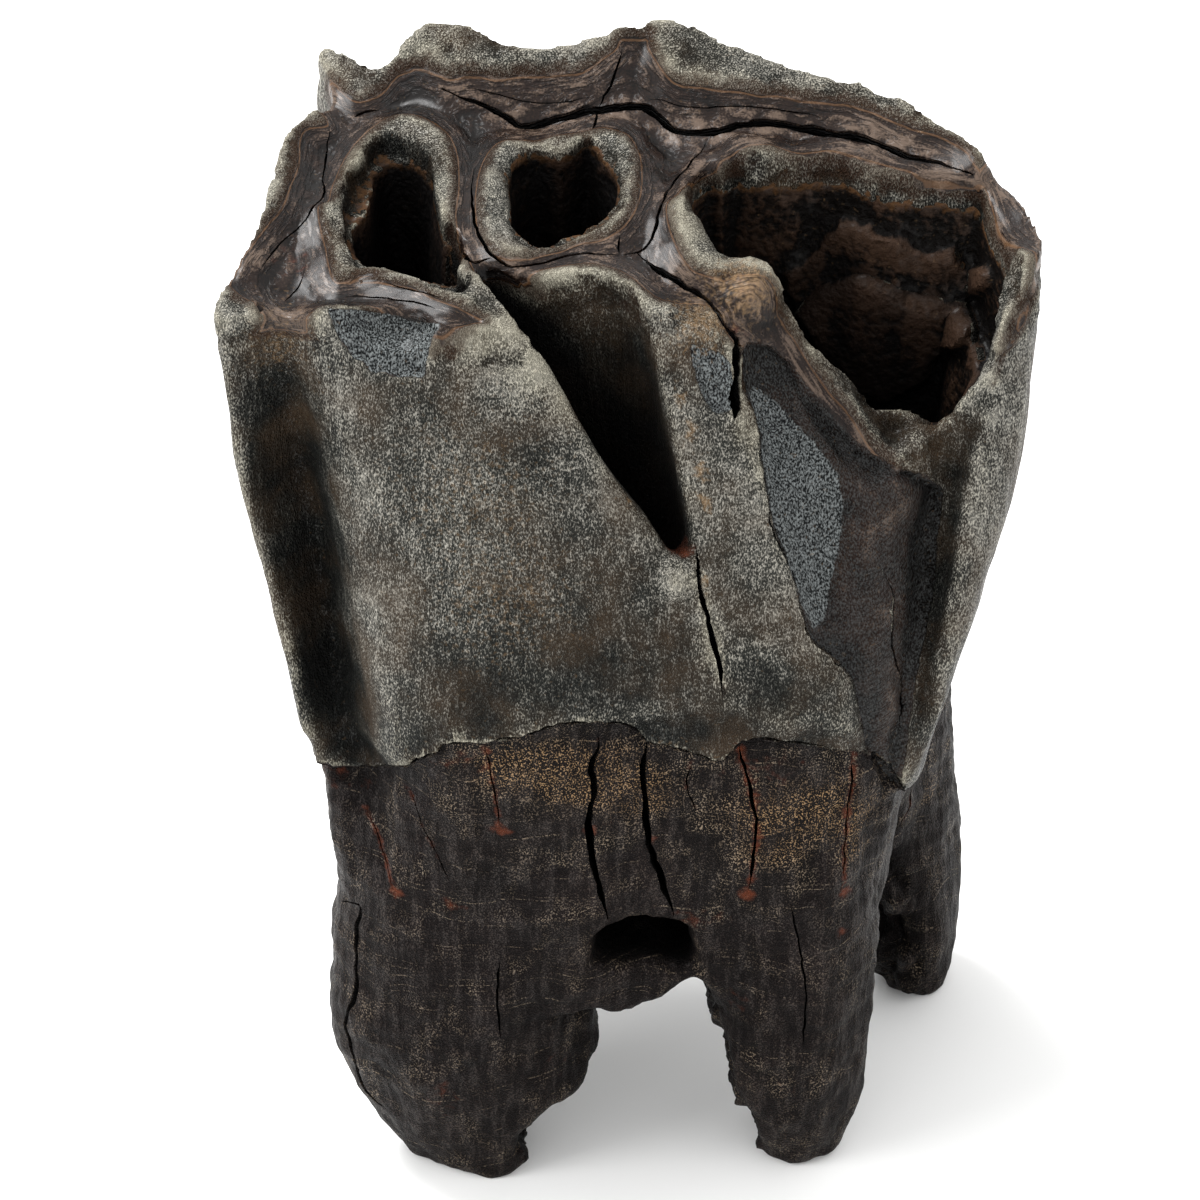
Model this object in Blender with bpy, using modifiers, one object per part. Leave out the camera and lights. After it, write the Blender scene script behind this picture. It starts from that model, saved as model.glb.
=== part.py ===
"""Fossil upper molar of a woolly rhinoceros, standing on its broken roots.

The frame is in metres with +Z up. The origin is on the surface that the tooth stands on, in the middle of
its outline. -Y is the tongue side, +Y the cheek side, and +X runs towards the back of the jaw.
All sizes below are in millimetres, and are turned to metres once, when a mesh is made.
"""

import math

import bmesh
import bpy
import numpy as np

MM = 0.001

# Finished skin: size of the voxels that it is made from, rounds of smoothing, and number of triangles
VOXEL = 0.55
SMOOTHING_ROUNDS = 3
SKIN_TRIANGLES = 9600

# Steps of the smooth curve between two drawn points, and rows of faces down the crown and the root trunk
SPAN_STEPS = 4
CROWN_ROWS = 24
TRUNK_ROWS = 14

# The enamel stands this far proud of the root at the cervix, over this much height
ENAMEL_STEP = 0.9
STEP_DROP = 0.8

# The crown and the root trunk are lofted down these columns, anticlockwise seen from above. Each gives the
# height of the cervix, where the enamel ends, and then (x, y) at every level.
LEVELS = (84.0, 72.0, 58.0, 44.0, 32.0, 16.0)
COLUMNS = {
    "front left corner": (
        39.0, ((-28.2, -10.6), (-27.8, -11.8), (-26.4, -11.4), (-23.4, -12.4), (-22.0, -13.0), (-20.6, -11.0))
    ),
    "mesial groove": (
        39.4, ((-23.6, -10.8), (-23.4, -11.4), (-21.8, -7.8), (-20.0, -9.4), (-18.8, -15.2), (-17.5, -14.0))
    ),
    "protocone shoulder": (
        40.6, ((-18.4, -10.6), (-19.2, -12.2), (-18.0, -14.8), (-16.0, -18.4), (-13.8, -18.6), (-13.0, -17.0))
    ),
    "protocone": (
        44.4, ((-9.0, -10.2), (-9.6, -12.6), (-8.8, -17.8), (-6.8, -20.6), (-5.4, -19.8), (-5.0, -17.6))
    ),
    "valley line": (
        45.6, ((-1.0, -9.5), (-0.5, -11.5), (4.0, -16.2), (4.0, -19.4), (3.4, -18.4), (3.4, -15.8))
    ),
    "hypocone": (
        44.6, ((5.5, -8.5), (5.5, -10.8), (9.0, -16.2), (10.6, -19.4), (10.8, -18.6), (10.8, -16.4))
    ),
    "hypocone plate": (
        42.2, ((11.5, -8.0), (11.5, -10.8), (14.0, -15.4), (16.4, -17.4), (15.6, -17.0), (15.0, -15.2))
    ),
    "distal recess": (
        37.0, ((18.5, -8.0), (19.0, -9.5), (20.5, -12.5), (20.6, -14.4), (18.2, -15.0), (17.0, -13.6))
    ),
    "distal plate": (
        34.6, ((27.4, -5.5), (27.2, -7.0), (26.4, -9.6), (22.8, -12.2), (20.0, -12.4), (18.2, -9.6))
    ),
    "distal side": (
        34.0, ((27.8, -1.0), (27.6, -2.0), (27.2, -2.0), (24.6, -2.0), (22.2, -2.0), (20.5, 0.0))
    ),
    "metastyle": (
        35.0, ((24.6, 3.4), (25.2, 3.6), (26.2, 5.6), (25.4, 8.5), (24.4, 9.6), (23.0, 10.0))
    ),
    "distal cheek wall": (
        36.5, ((18.0, 8.0), (18.8, 9.8), (19.5, 13.8), (19.0, 17.4), (18.8, 18.0), (18.0, 17.0))
    ),
    "metacone fold": (
        35.0, ((10.5, 11.0), (10.8, 12.2), (11.0, 15.6), (10.5, 18.4), (10.5, 18.8), (10.5, 17.0))
    ),
    "metacone rib": (
        33.5, ((3.0, 14.0), (3.0, 15.6), (3.0, 18.8), (2.5, 20.6), (2.5, 20.2), (2.5, 17.6))
    ),
    "cheek hollow": (
        34.0, ((-5.5, 12.4), (-5.5, 13.4), (-5.5, 15.8), (-5.0, 18.0), (-5.0, 18.2), (-5.0, 16.2))
    ),
    "paracone rib": (
        36.0, ((-13.4, 14.4), (-13.2, 15.6), (-13.0, 18.4), (-12.0, 20.4), (-11.5, 20.0), (-11.5, 17.6))
    ),
    "parastyle fold": (
        38.0, ((-17.4, 12.8), (-17.2, 13.2), (-17.0, 15.2), (-16.0, 17.8), (-15.5, 18.4), (-15.5, 16.4))
    ),
    "parastyle": (
        38.5, ((-21.8, 15.2), (-22.0, 15.6), (-21.6, 16.8), (-19.8, 16.8), (-19.0, 16.6), (-18.5, 14.6))
    ),
    "mesial notch": (
        38.0, ((-20.0, 10.8), (-20.4, 10.8), (-21.6, 11.0), (-21.0, 10.6), (-20.2, 10.0), (-19.6, 8.6))
    ),
    "mesial back wall": (
        37.0, ((-23.4, 6.0), (-23.4, 6.0), (-23.2, 5.0), (-22.2, 4.5), (-21.8, 4.0), (-20.6, 3.4))
    ),
    "mesial front wall": (
        37.4, ((-24.6, -3.0), (-25.0, -4.0), (-24.8, -4.5), (-23.0, -5.0), (-22.4, -5.0), (-21.0, -4.0))
    ),
}

# Each root: level, centre, radii and turn in degrees of its oval section, from inside the trunk to below
# the tip, which is cut off flat where the tooth stands
ROOTS = {
    "tongue side front root": (
        (30.0, (-11.5, -9.5), (8.6, 8.2), 0.0),
        (20.0, (-11.6, -10.4), (9.6, 7.6), 0.0),
        (12.0, (-11.8, -10.6), (9.9, 6.8), 0.0),
        (6.0, (-11.0, -10.9), (8.9, 5.6), -4.0),
        (0.0, (-10.8, -11.6), (5.2, 3.4), -10.0),
        (-4.0, (-10.0, -11.8), (3.0, 2.4), -10.0),
    ),
    "tongue side rear root": (
        (30.0, (11.4, -10.4), (7.0, 7.4), 0.0),
        (20.0, (12.2, -10.9), (6.0, 6.4), 0.0),
        (12.0, (11.8, -11.0), (6.3, 5.6), 0.0),
        (6.0, (12.0, -11.0), (5.6, 4.8), 0.0),
        (0.0, (13.2, -11.0), (2.9, 3.0), 0.0),
        (-4.0, (13.4, -11.0), (1.6, 1.8), 0.0),
    ),
    "cheek side rear root": (
        (32.0, (17.6, 9.6), (6.5, 7.5), 0.0),
        (20.0, (19.4, 10.2), (5.8, 6.6), 0.0),
        (12.0, (20.8, 10.0), (5.0, 5.8), 0.0),
        (5.0, (22.0, 9.4), (3.9, 4.8), 0.0),
        (0.0, (22.6, 8.8), (2.6, 3.0), 0.0),
        (-4.0, (22.8, 8.6), (1.4, 1.8), 0.0),
    ),
    "cheek side front root": (
        (32.0, (-10.0, 9.0), (9.5, 9.0), 0.0),
        (20.0, (-10.6, 9.4), (9.4, 7.8), 0.0),
        (12.0, (-11.8, 9.8), (7.6, 6.4), 6.0),
        (5.0, (-13.2, 10.2), (5.6, 4.9), 10.0),
        (0.0, (-14.0, 10.4), (3.4, 3.2), 10.0),
        (-4.0, (-14.0, 10.4), (2.0, 2.0), 10.0),
    ),
}
ROOT_SIDES = 12

# Heights that chewing left at named spots of the worn surface: x, y, z
WEAR_SPOTS = {
    "front left rim": (-27.2, -11.4, 71.5),
    "mesial edge front": (-25.0, -6.7, 73.6),
    "mesial edge middle": (-23.4, -0.4, 74.8),
    "mesial edge back": (-22.8, 7.2, 76.0),
    "mesial basin": (-22.2, -4.0, 73.4),
    "protoloph basin": (-21.4, 3.0, 74.6),
    "mesial front basin": (-22.5, -8.6, 72.4),
    "protocone left": (-17.5, -9.4, 72.3),
    "protocone front left": (-19.0, -12.4, 72.6),
    "protocone front": (-12.0, -12.6, 72.5),
    "protocone right": (-8.6, -11.4, 72.0),
    "between the pits": (-11.6, 0.5, 74.6),
    "island front left": (-8.5, -7.2, 73.6),
    "island front": (-3.5, -7.4, 73.0),
    "island right": (2.0, -4.0, 74.2),
    "cheek basin left": (-15.5, 10.6, 76.0),
    "cheek basin middle": (-5.5, 8.6, 75.4),
    "cheek basin centre": (2.6, 6.5, 75.2),
    "cheek basin right": (12.0, 7.0, 75.2),
    "cheek basin far right": (20.0, 4.2, 74.8),
    "metaloph": (3.8, -2.5, 75.2),
    "metaloph knob": (9.2, -6.4, 73.6),
    "metaloph saddle": (5.8, -7.4, 73.0),
    "metaloph slope top": (11.8, -8.0, 68.8),
    "metaloph slope": (15.0, -9.8, 63.6),
    "hypocone top": (17.6, -10.4, 60.2),
    "hypocone front": (15.6, -13.6, 58.2),
    "hypocone left front": (9.5, -13.5, 64.0),
    "hypocone plate top": (6.0, -11.5, 70.0),
    "valley corner": (1.0, -10.0, 72.6),
    "broken rim low": (20.6, -9.4, 61.6),
    "broken rim high": (23.2, -8.2, 66.6),
    "distal plate top": (27.4, -6.0, 73.6),
    "distal plate front": (25.0, -8.4, 69.5),
    "distal edge": (27.0, 0.0, 73.8),
    "metastyle corner": (25.2, 3.0, 74.0),
}

# Top of the crest of the cheek wall, from the front of the jaw to the back: x, y, z
CREST = (
    (-21.4, 14.4, 77.0), (-19.9, 14.8, 77.8), (-17.2, 12.6, 76.6), (-14.4, 13.8, 79.2), (-12.2, 13.8, 79.4),
    (-7.5, 12.8, 78.2), (-4.0, 12.8, 78.6), (-0.6, 13.4, 79.4), (1.2, 13.6, 78.9), (2.8, 14.2, 79.8),
    (6.5, 13.0, 78.6), (11.0, 11.8, 78.2), (15.6, 10.8, 77.8), (19.2, 9.2, 77.0), (22.4, 6.6, 75.9),
    (24.2, 3.2, 75.0),
)
CREST_RISE = 0.3
CREST_WIDTH = 2.6

# Rims of the three pits of the chewing surface, in plan, then each pit's ledge, floor, and the shift of its
# floor. The enamel opens a pit down to the ledge, and the lining below is narrower.
PITS = {
    "front fossette": (
        (
            (-18.9, 2.1), (-17.4, 6.0), (-15.2, 6.6), (-13.4, 3.2), (-12.6, -1.2), (-10.9, -5.2),
            (-13.0, -7.0), (-17.6, -6.0), (-18.9, -2.0),
        ),
        70.5, 52.0, (2.0, -1.0),
    ),
    "middle fossette": (
        (
            (-8.2, 1.0), (-7.7, 4.6), (-4.4, 5.5), (-1.2, 5.9), (-0.1, 3.2), (-0.2, -0.6),
            (-2.4, -3.2), (-5.4, -4.6), (-7.9, -3.4),
        ),
        72.0, 54.0, (0.0, 0.5),
    ),
    "rear fossette": (
        (
            (3.8, -0.8), (7.0, 3.4), (12.4, 3.0), (17.0, 0.8), (21.2, -1.4), (24.8, -4.2), (24.4, -6.8),
            (21.4, -8.4), (18.2, -9.8), (15.2, -8.6), (12.0, -6.8), (9.4, -5.2), (6.0, -4.2),
        ),
        68.5, 49.0, (0.0, -0.6),
    ),
}
RIM_HEIGHT = 1.2
RIM_WIDTH = 1.2
RIM_SHARE = 1.12
RIM_LEVEL = 76.0
LEDGE_DROP = 0.8
MOUTH_SHARE = 1.02
LEDGE_SHARE = 0.96
LINING_SHARE = 0.84
WAIST_SHARE = 0.73
FLOOR_SHARE = 0.5

# Long drying crack behind the crest of the cheek wall, in plan
CHEEK_CRACK = (
    (-16.0, 9.9), (-13.5, 10.5), (-11.0, 9.5), (-7.2, 7.9), (-3.0, 8.5), (1.0, 9.2), (4.4, 7.4), (7.4, 6.9),
    (11.3, 8.0), (16.1, 6.4), (20.8, 4.0), (24.2, 1.8),
)
CRACK_WIDTH = 0.95
CRACK_DEPTH = 4.5
CRACK_ENDS = 4.0
CRACK_START = 0.15

# Grid of the cutter that carries the worn surface
WEAR_REACH = (36.0, 30.0)
WEAR_GRID = 0.5
WEAR_TOP = 88.0

# Slanting valley that opens in the tongue side between the two lobes, as the outline of the gap at each
# level
VALLEY = (
    (86.0, ((-9.0, -22.0), (-9.6, -11.0), (-13.6, -4.8), (-7.5, -7.6), (0.0, -9.2), (1.5, -22.0))),
    (73.0, ((-7.4, -22.0), (-8.0, -11.6), (-13.4, -4.6), (-7.5, -8.0), (0.3, -9.4), (1.8, -22.0))),
    (67.0, ((-4.0, -22.0), (-4.8, -12.2), (-12.8, -4.2), (-6.0, -7.4), (1.3, -10.0), (2.2, -22.0))),
    (61.0, ((0.0, -22.0), (-1.6, -12.6), (-11.8, -3.6), (-5.0, -6.4), (2.4, -11.0), (3.6, -22.0))),
    (57.0, ((3.8, -22.0), (1.4, -13.0), (-10.0, -3.0), (-4.0, -5.4), (3.0, -12.0), (4.8, -22.0))),
    (52.0, ((3.6, -14.0), (1.6, -12.0), (-9.0, -3.0), (-4.0, -5.0), (3.0, -11.6), (4.2, -14.0))),
)

# Corner that broke away between the rear lobe and the distal plate, as the outline of what is gone at each
# level: from the ragged edge of the enamel, over the bared dentine, into the trough and out at the plate
BROKEN_CORNER = (
    (86.0, (
        (6.2, -24.0), (7.6, -10.0), (13.4, -8.6), (18.8, -8.6), (21.6, -8.0), (24.4, -7.6), (26.0, -24.0),
    )),
    (68.0, (
        (6.6, -24.0), (8.0, -10.4), (13.4, -9.4), (18.8, -9.0), (21.6, -8.0), (24.4, -7.8), (25.6, -24.0),
    )),
    (62.0, (
        (8.8, -24.0), (10.0, -13.4), (14.0, -12.2), (18.2, -11.0), (21.2, -8.8), (23.4, -8.6), (24.6, -24.0),
    )),
    (55.0, (
        (10.4, -24.0), (11.6, -16.0), (15.0, -14.4), (18.4, -12.8), (20.8, -10.4), (22.2, -10.2),
        (23.4, -24.0),
    )),
    (48.0, (
        (13.4, -24.0), (14.4, -17.2), (16.4, -15.8), (18.6, -14.2), (20.4, -12.0), (21.4, -11.8),
        (22.4, -24.0),
    )),
    (42.0, (
        (15.6, -24.0), (16.2, -17.0), (17.2, -16.2), (18.8, -15.0), (20.0, -13.4), (20.8, -13.2),
        (21.6, -24.0),
    )),
    (35.0, (
        (17.0, -24.0), (17.2, -17.0), (18.0, -16.4), (18.8, -15.6), (19.4, -14.8), (20.0, -14.6),
        (20.6, -24.0),
    )),
)

# Pieces missing from the tongue side, as outlines (x, z) seen from the front, and how far back each goes.
# A ragged flake hangs between the hole above it and the gap between the roots.
FRONT_REACH = -26.0
SLOTS = {
    "gap between the roots": (
        (
            (-8.0, -8.0), (-7.8, 4.0), (-5.9, 6.8), (-3.0, 6.8), (-2.2, 11.0), (-1.8, 15.2), (0.6, 15.0),
            (2.4, 16.8), (4.0, 18.0), (4.9, 20.4), (6.2, 17.0), (5.7, 14.4), (7.3, 11.4), (7.6, 8.4),
            (9.2, 5.6), (10.4, -8.0),
        ),
        -9.0,
    ),
    "hole over the flake": (
        (
            (-2.4, 21.0), (-2.2, 24.6), (0.6, 25.6), (4.2, 25.2), (4.9, 22.0), (5.2, 19.6), (4.2, 20.2),
            (1.4, 21.2),
        ),
        -9.0,
    ),
    "chip in the protocone": (
        (
            (-19.3, 78.0), (-18.9, 72.4), (-17.4, 70.2), (-15.4, 69.2), (-13.2, 69.8), (-12.6, 73.0),
            (-12.2, 78.0),
        ),
        -11.0,
    ),
}

# Spaces under the trunk that part the roots, as eggs: centre and radii
ROOT_SPACES = {
    "space among the roots": ((1.5, -0.2, 2.0), (11.5, 9.6, 22.5)),
    "mesial arch": ((-20.0, -0.4, 2.0), (15.0, 5.2, 19.0)),
    "distal arch": ((20.0, -1.2, 4.0), (14.0, 5.0, 20.5)),
    "cheek arch": ((4.8, 16.0, 2.0), (9.6, 13.0, 23.0)),
}

# Block below the surface that the tooth stands on: width and height
GROUND = (120.0, 20.0)

# Dark brown mineralised dentine
DENTINE = (0.045, 0.034, 0.029, 1.0)
DENTINE_ROUGHNESS = 0.5


def catmull(p0, p1, p2, p3, t):
    """Point at t between p1 and p2 on a smooth curve through all four."""
    return 0.5 * (
        2 * p1 + (p2 - p0) * t + (2 * p0 - 5 * p1 + 4 * p2 - p3) * t**2 + (3 * p1 - p0 - 3 * p2 + p3) * t**3
    )


def smooth_loop(points):
    """Closed smooth curve through the points."""
    points = np.array(points, float)
    count = len(points)
    loop = []
    for i in range(count):
        around = [points[(i + k) % count] for k in (-1, 0, 1, 2)]
        loop += [catmull(*around, step / SPAN_STEPS) for step in range(SPAN_STEPS)]
    return np.array(loop)


def smooth_line(points):
    """Open smooth curve through the points."""
    points = np.array(points, float)
    ends = np.concatenate([[2 * points[0] - points[1]], points, [2 * points[-1] - points[-2]]])
    line = []
    for i in range(len(points) - 1):
        line += [catmull(*ends[i : i + 4], step / SPAN_STEPS) for step in range(SPAN_STEPS)]
    return np.array(line + [points[-1]])


def flat_ring(outline, level):
    """Smooth ring through an outline in plan, at one level."""
    loop = smooth_loop(outline)
    return np.column_stack([loop, np.full(len(loop), level)])


def stack(levels, outlines):
    """Smooth rings at each level, with more between them along a smooth curve."""
    return smooth_line([flat_ring(outline, level) for level, outline in zip(levels, outlines)])


def new_object(name, form, collection):
    """Object made from a bmesh whose vertices are in millimetres."""
    bmesh.ops.scale(form, vec=(MM, MM, MM), verts=form.verts)
    bmesh.ops.recalc_face_normals(form, faces=form.faces)
    mesh = bpy.data.meshes.new(name)
    form.to_mesh(mesh)
    form.free()
    obj = bpy.data.objects.new(name, mesh)
    collection.objects.link(obj)
    return obj


def loft(name, rings, collection):
    """Closed solid through rings of points that match one to one, capped at both ends."""
    form = bmesh.new()
    loops = [[form.verts.new(point) for point in ring] for ring in rings]
    count = len(loops[0])
    for upper, lower in zip(loops, loops[1:]):
        for i in range(count):
            j = (i + 1) % count
            form.faces.new((upper[i], upper[j], lower[j], lower[i]))
    form.faces.new(loops[0])
    form.faces.new(loops[-1])
    bmesh.ops.triangulate(form, faces=form.faces)
    return new_object(name, form, collection)


def ring_at(rings, heights, inset):
    """Ring that crosses the stacked rings at one height for each of its points, drawn in by an inset."""
    ring = np.array([
        [np.interp(height, rings[::-1, i, 2], rings[::-1, i, axis]) for axis in (0, 1)]
        for i, height in enumerate(heights)
    ])
    inward = ring.mean(axis=0) - ring
    ring += inset * inward / np.linalg.norm(inward, axis=1, keepdims=True)
    return np.column_stack([ring, heights])


def crown_and_trunk(collection):
    """The tooth as one body, from above the chewing surface down to where the roots part, with the small
    step in which the enamel ends."""
    outlines = [[places[i] for _, places in COLUMNS.values()] for i in range(len(LEVELS))]
    rings = stack(LEVELS, outlines)
    cervix = smooth_loop([height for height, _ in COLUMNS.values()])
    under = cervix - STEP_DROP
    crown = [
        ring_at(rings, LEVELS[0] + (cervix - LEVELS[0]) * share, 0.0)
        for share in np.linspace(0, 1, CROWN_ROWS)
    ]
    trunk = [
        ring_at(rings, under + (LEVELS[-1] - under) * share, ENAMEL_STEP)
        for share in np.linspace(0, 1, TRUNK_ROWS)
    ]
    return loft("tooth", crown + trunk, collection)


def oval(centre, radii, turn):
    """Oval outline, turned by degrees."""
    angles = [2 * math.pi * i / ROOT_SIDES for i in range(ROOT_SIDES)]
    c, s = math.cos(math.radians(turn)), math.sin(math.radians(turn))
    ring = [(radii[0] * math.cos(a), radii[1] * math.sin(a)) for a in angles]
    return [(centre[0] + c * x - s * y, centre[1] + s * x + c * y) for x, y in ring]


def root(name, sections, collection):
    """One root, lofted through its oval sections."""
    levels = [section[0] for section in sections]
    outlines = [oval(*section[1:]) for section in sections]
    return loft(name, stack(levels, outlines), collection)


def film_through(spots):
    """Function of arrays x and y that gives the height of a taut film through the spots."""
    spots = np.array(spots, float)
    plan = spots[:, :2]
    count = len(spots)
    system = np.zeros((count + 3, count + 3))
    system[:count, :count] = np.linalg.norm(plan[:, None] - plan[None], axis=2)
    system[:count, count] = 1.0
    system[count, :count] = 1.0
    system[:count, count + 1 :] = plan
    system[count + 1 :, :count] = plan.T
    weights = np.linalg.solve(system, np.concatenate([spots[:, 2], np.zeros(3)]))

    def height(x, y):
        gaps = np.hypot(x[..., None] - plan[:, 0], y[..., None] - plan[:, 1])
        return gaps @ weights[:count] + weights[count] + weights[count + 1] * x + weights[count + 2] * y

    return height


def distance_to(line, x, y):
    """Distance in plan from points to a line, and how far each is from the nearer end along the line."""
    best = np.full(x.shape, np.inf)
    along = np.zeros(x.shape)
    travelled = 0.0
    for start, end in zip(line, line[1:]):
        span = end - start
        length = float(np.hypot(*span))
        t = np.clip(((x - start[0]) * span[0] + (y - start[1]) * span[1]) / length**2, 0.0, 1.0)
        gap = np.hypot(x - start[0] - t * span[0], y - start[1] - t * span[1])
        nearer = gap < best
        best = np.where(nearer, gap, best)
        along = np.where(nearer, travelled + t * length, along)
        travelled += length
    return best, np.minimum(along, travelled - along)


def ridge(gap, width):
    """Rounded ridge, 1 on its line and 0 far from it."""
    return np.exp(-((gap / width) ** 2))


def scaled(outline, share, shift):
    """Outline scaled about its own middle, and shifted."""
    points = np.array(outline, float)
    middle = points.mean(axis=0)
    return middle + (points - middle) * share + np.array(shift)


def worn_height(x, y):
    """Height of the worn chewing surface over the plan."""
    height = film_through(list(WEAR_SPOTS.values()) + list(CREST))(x, y)
    gap, _ = distance_to(smooth_line(CREST)[:, :2], x, y)
    height += CREST_RISE * ridge(gap, CREST_WIDTH)
    for rim, _, _, _ in PITS.values():
        loop = smooth_loop(scaled(rim, RIM_SHARE, (0.0, 0.0)))
        gap, _ = distance_to(np.concatenate([loop, loop[:1]]), x, y)
        height += RIM_HEIGHT * ridge(gap, RIM_WIDTH)
    gap, from_end = distance_to(smooth_line(CHEEK_CRACK), x, y)
    height -= CRACK_DEPTH * np.clip(from_end / CRACK_ENDS, CRACK_START, 1.0) * ridge(gap, CRACK_WIDTH)
    return height


def worn_away(collection):
    """Cutter for what chewing wore away: all the space over the worn surface."""
    across, deep = (int(2 * reach / WEAR_GRID) for reach in WEAR_REACH)
    form = bmesh.new()
    bmesh.ops.create_grid(form, x_segments=across, y_segments=deep, size=1.0)
    bmesh.ops.scale(form, vec=(*WEAR_REACH, 1.0), verts=form.verts)
    plan = np.array([vert.co for vert in form.verts])
    for vert, height in zip(form.verts, worn_height(plan[:, 0], plan[:, 1])):
        vert.co.z = height
    raised = bmesh.ops.extrude_face_region(form, geom=form.faces[:])["geom"]
    for vert in (item for item in raised if isinstance(item, bmesh.types.BMVert)):
        vert.co.z = WEAR_TOP
    return new_object("worn away", form, collection)


def pit(name, rim, ledge, floor, shift, collection):
    """Cutter for a pit, wide down to its ledge and narrower below."""
    steps = (
        (WEAR_TOP, MOUTH_SHARE, 0.0),
        (RIM_LEVEL, 1.0, 0.0),
        (ledge, LEDGE_SHARE, 0.1),
        (ledge - LEDGE_DROP, LINING_SHARE, 0.15),
        (0.5 * (ledge + floor), WAIST_SHARE, 0.6),
        (floor, FLOOR_SHARE, 1.0),
    )
    rings = [
        flat_ring(scaled(rim, share, (shift[0] * moved, shift[1] * moved)), level)
        for level, share, moved in steps
    ]
    return loft(name, rings, collection)


def side_gap(name, sections, collection):
    """Cutter for a gap that is open to the side, lofted through its outline at each level."""
    levels = [level for level, _ in sections]
    outlines = [outline for _, outline in sections]
    return loft(name, stack(levels, outlines), collection)


def slot(name, outline, back, collection):
    """Cutter with this outline seen from the front, running from in front of the tooth to its back."""
    depth = back - FRONT_REACH
    curve = bpy.data.curves.new(name, "CURVE")
    curve.dimensions = "2D"
    curve.fill_mode = "BOTH"
    curve.extrude = 0.5 * depth * MM
    spline = curve.splines.new("POLY")
    spline.points.add(len(outline) - 1)
    for point, (x, z) in zip(spline.points, outline):
        point.co = (x * MM, z * MM, 0.0, 1.0)
    spline.use_cyclic_u = True
    guide = bpy.data.objects.new(name + " guide", curve)
    guide.rotation_euler = (math.pi / 2, 0.0, 0.0)
    guide.location = (0.0, (FRONT_REACH + 0.5 * depth) * MM, 0.0)
    collection.objects.link(guide)
    return solid_from(name, guide, collection)


def solid_from(name, guide, collection):
    """Mesh object with the shape and place of a curve, with its caps welded. The curve is removed."""
    bpy.context.view_layer.update()
    graph = bpy.context.evaluated_depsgraph_get()
    mesh = bpy.data.meshes.new_from_object(guide.evaluated_get(graph))
    form = bmesh.new()
    form.from_mesh(mesh)
    bmesh.ops.remove_doubles(form, verts=form.verts, dist=0.01 * MM)
    bmesh.ops.recalc_face_normals(form, faces=form.faces)
    form.to_mesh(mesh)
    form.free()
    solid = bpy.data.objects.new(name, mesh)
    solid.matrix_world = guide.matrix_world
    collection.objects.link(solid)
    bpy.data.objects.remove(guide)
    return solid


def egg(name, centre, radii, collection):
    """Cutter in the form of an egg."""
    form = bmesh.new()
    bmesh.ops.create_uvsphere(form, u_segments=24, v_segments=14, radius=1.0)
    bmesh.ops.scale(form, vec=radii, verts=form.verts)
    bmesh.ops.translate(form, vec=centre, verts=form.verts)
    return new_object(name, form, collection)


def ground(collection):
    """Block under the surface that the tooth stands on, which cuts the root tips flat."""
    width, height = GROUND
    form = bmesh.new()
    bmesh.ops.create_cube(form, size=1.0)
    bmesh.ops.scale(form, vec=(width, width, height), verts=form.verts)
    bmesh.ops.translate(form, vec=(0.0, 0.0, -0.5 * height), verts=form.verts)
    return new_object("ground", form, collection)


def dentine():
    """Material of the whole tooth: dark brown mineralised dentine."""
    material = bpy.data.materials.new("mineralised dentine")
    material.use_nodes = True
    shader = material.node_tree.nodes["Principled BSDF"]
    shader.inputs["Base Color"].default_value = DENTINE
    shader.inputs["Roughness"].default_value = DENTINE_ROUGHNESS
    return material


def new_collection(name):
    """Collection linked to the scene."""
    collection = bpy.data.collections.new(name)
    bpy.context.scene.collection.children.link(collection)
    return collection


def hide(collection):
    """Leave the objects of a collection out of the finished part."""
    collection.hide_render = True
    for obj in collection.objects:
        obj.hide_render = True
        obj.display_type = "WIRE"


def boolean(obj, name, operation, collection):
    """Boolean modifier of obj with every object of a collection."""
    modifier = obj.modifiers.new(name, "BOOLEAN")
    modifier.operation = operation
    modifier.operand_type = "COLLECTION"
    modifier.collection = collection
    modifier.solver = "EXACT"


def triangle_count(obj):
    """Triangles of the object as its modifiers leave it."""
    bpy.context.view_layer.update()
    mesh = obj.evaluated_get(bpy.context.evaluated_depsgraph_get()).to_mesh()
    mesh.calc_loop_triangles()
    return len(mesh.loop_triangles)


def finish_skin(tooth):
    """Even, slightly weathered skin of few triangles."""
    remesh = tooth.modifiers.new("even skin", "REMESH")
    remesh.mode = "VOXEL"
    remesh.voxel_size = VOXEL * MM
    smooth = tooth.modifiers.new("weathering", "SMOOTH")
    smooth.iterations = SMOOTHING_ROUNDS
    share = SKIN_TRIANGLES / triangle_count(tooth)
    tooth.modifiers.new("fewer triangles", "DECIMATE").ratio = share


def main():
    for obj in list(bpy.data.objects):
        bpy.data.objects.remove(obj)
    parts = new_collection("woolly rhinoceros tooth")
    joined = new_collection("roots")
    cutters = new_collection("cutters")
    base = new_collection("base")

    tooth = crown_and_trunk(parts)
    tooth.data.materials.append(dentine())
    for name, sections in ROOTS.items():
        root(name, sections, joined)
    worn_away(cutters)
    for name, (rim, ledge, floor, shift) in PITS.items():
        pit(name, rim, ledge, floor, shift, cutters)
    side_gap("valley", VALLEY, cutters)
    side_gap("broken corner", BROKEN_CORNER, cutters)
    for name, (outline, back) in SLOTS.items():
        slot(name, outline, back, cutters)
    for name, (centre, radii) in ROOT_SPACES.items():
        egg(name, centre, radii, cutters)
    ground(base)

    boolean(tooth, "join roots", "UNION", joined)
    boolean(tooth, "cut hollows", "DIFFERENCE", cutters)
    finish_skin(tooth)
    boolean(tooth, "stand flat", "DIFFERENCE", base)
    for helper in (joined, cutters, base):
        hide(helper)


main()
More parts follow.
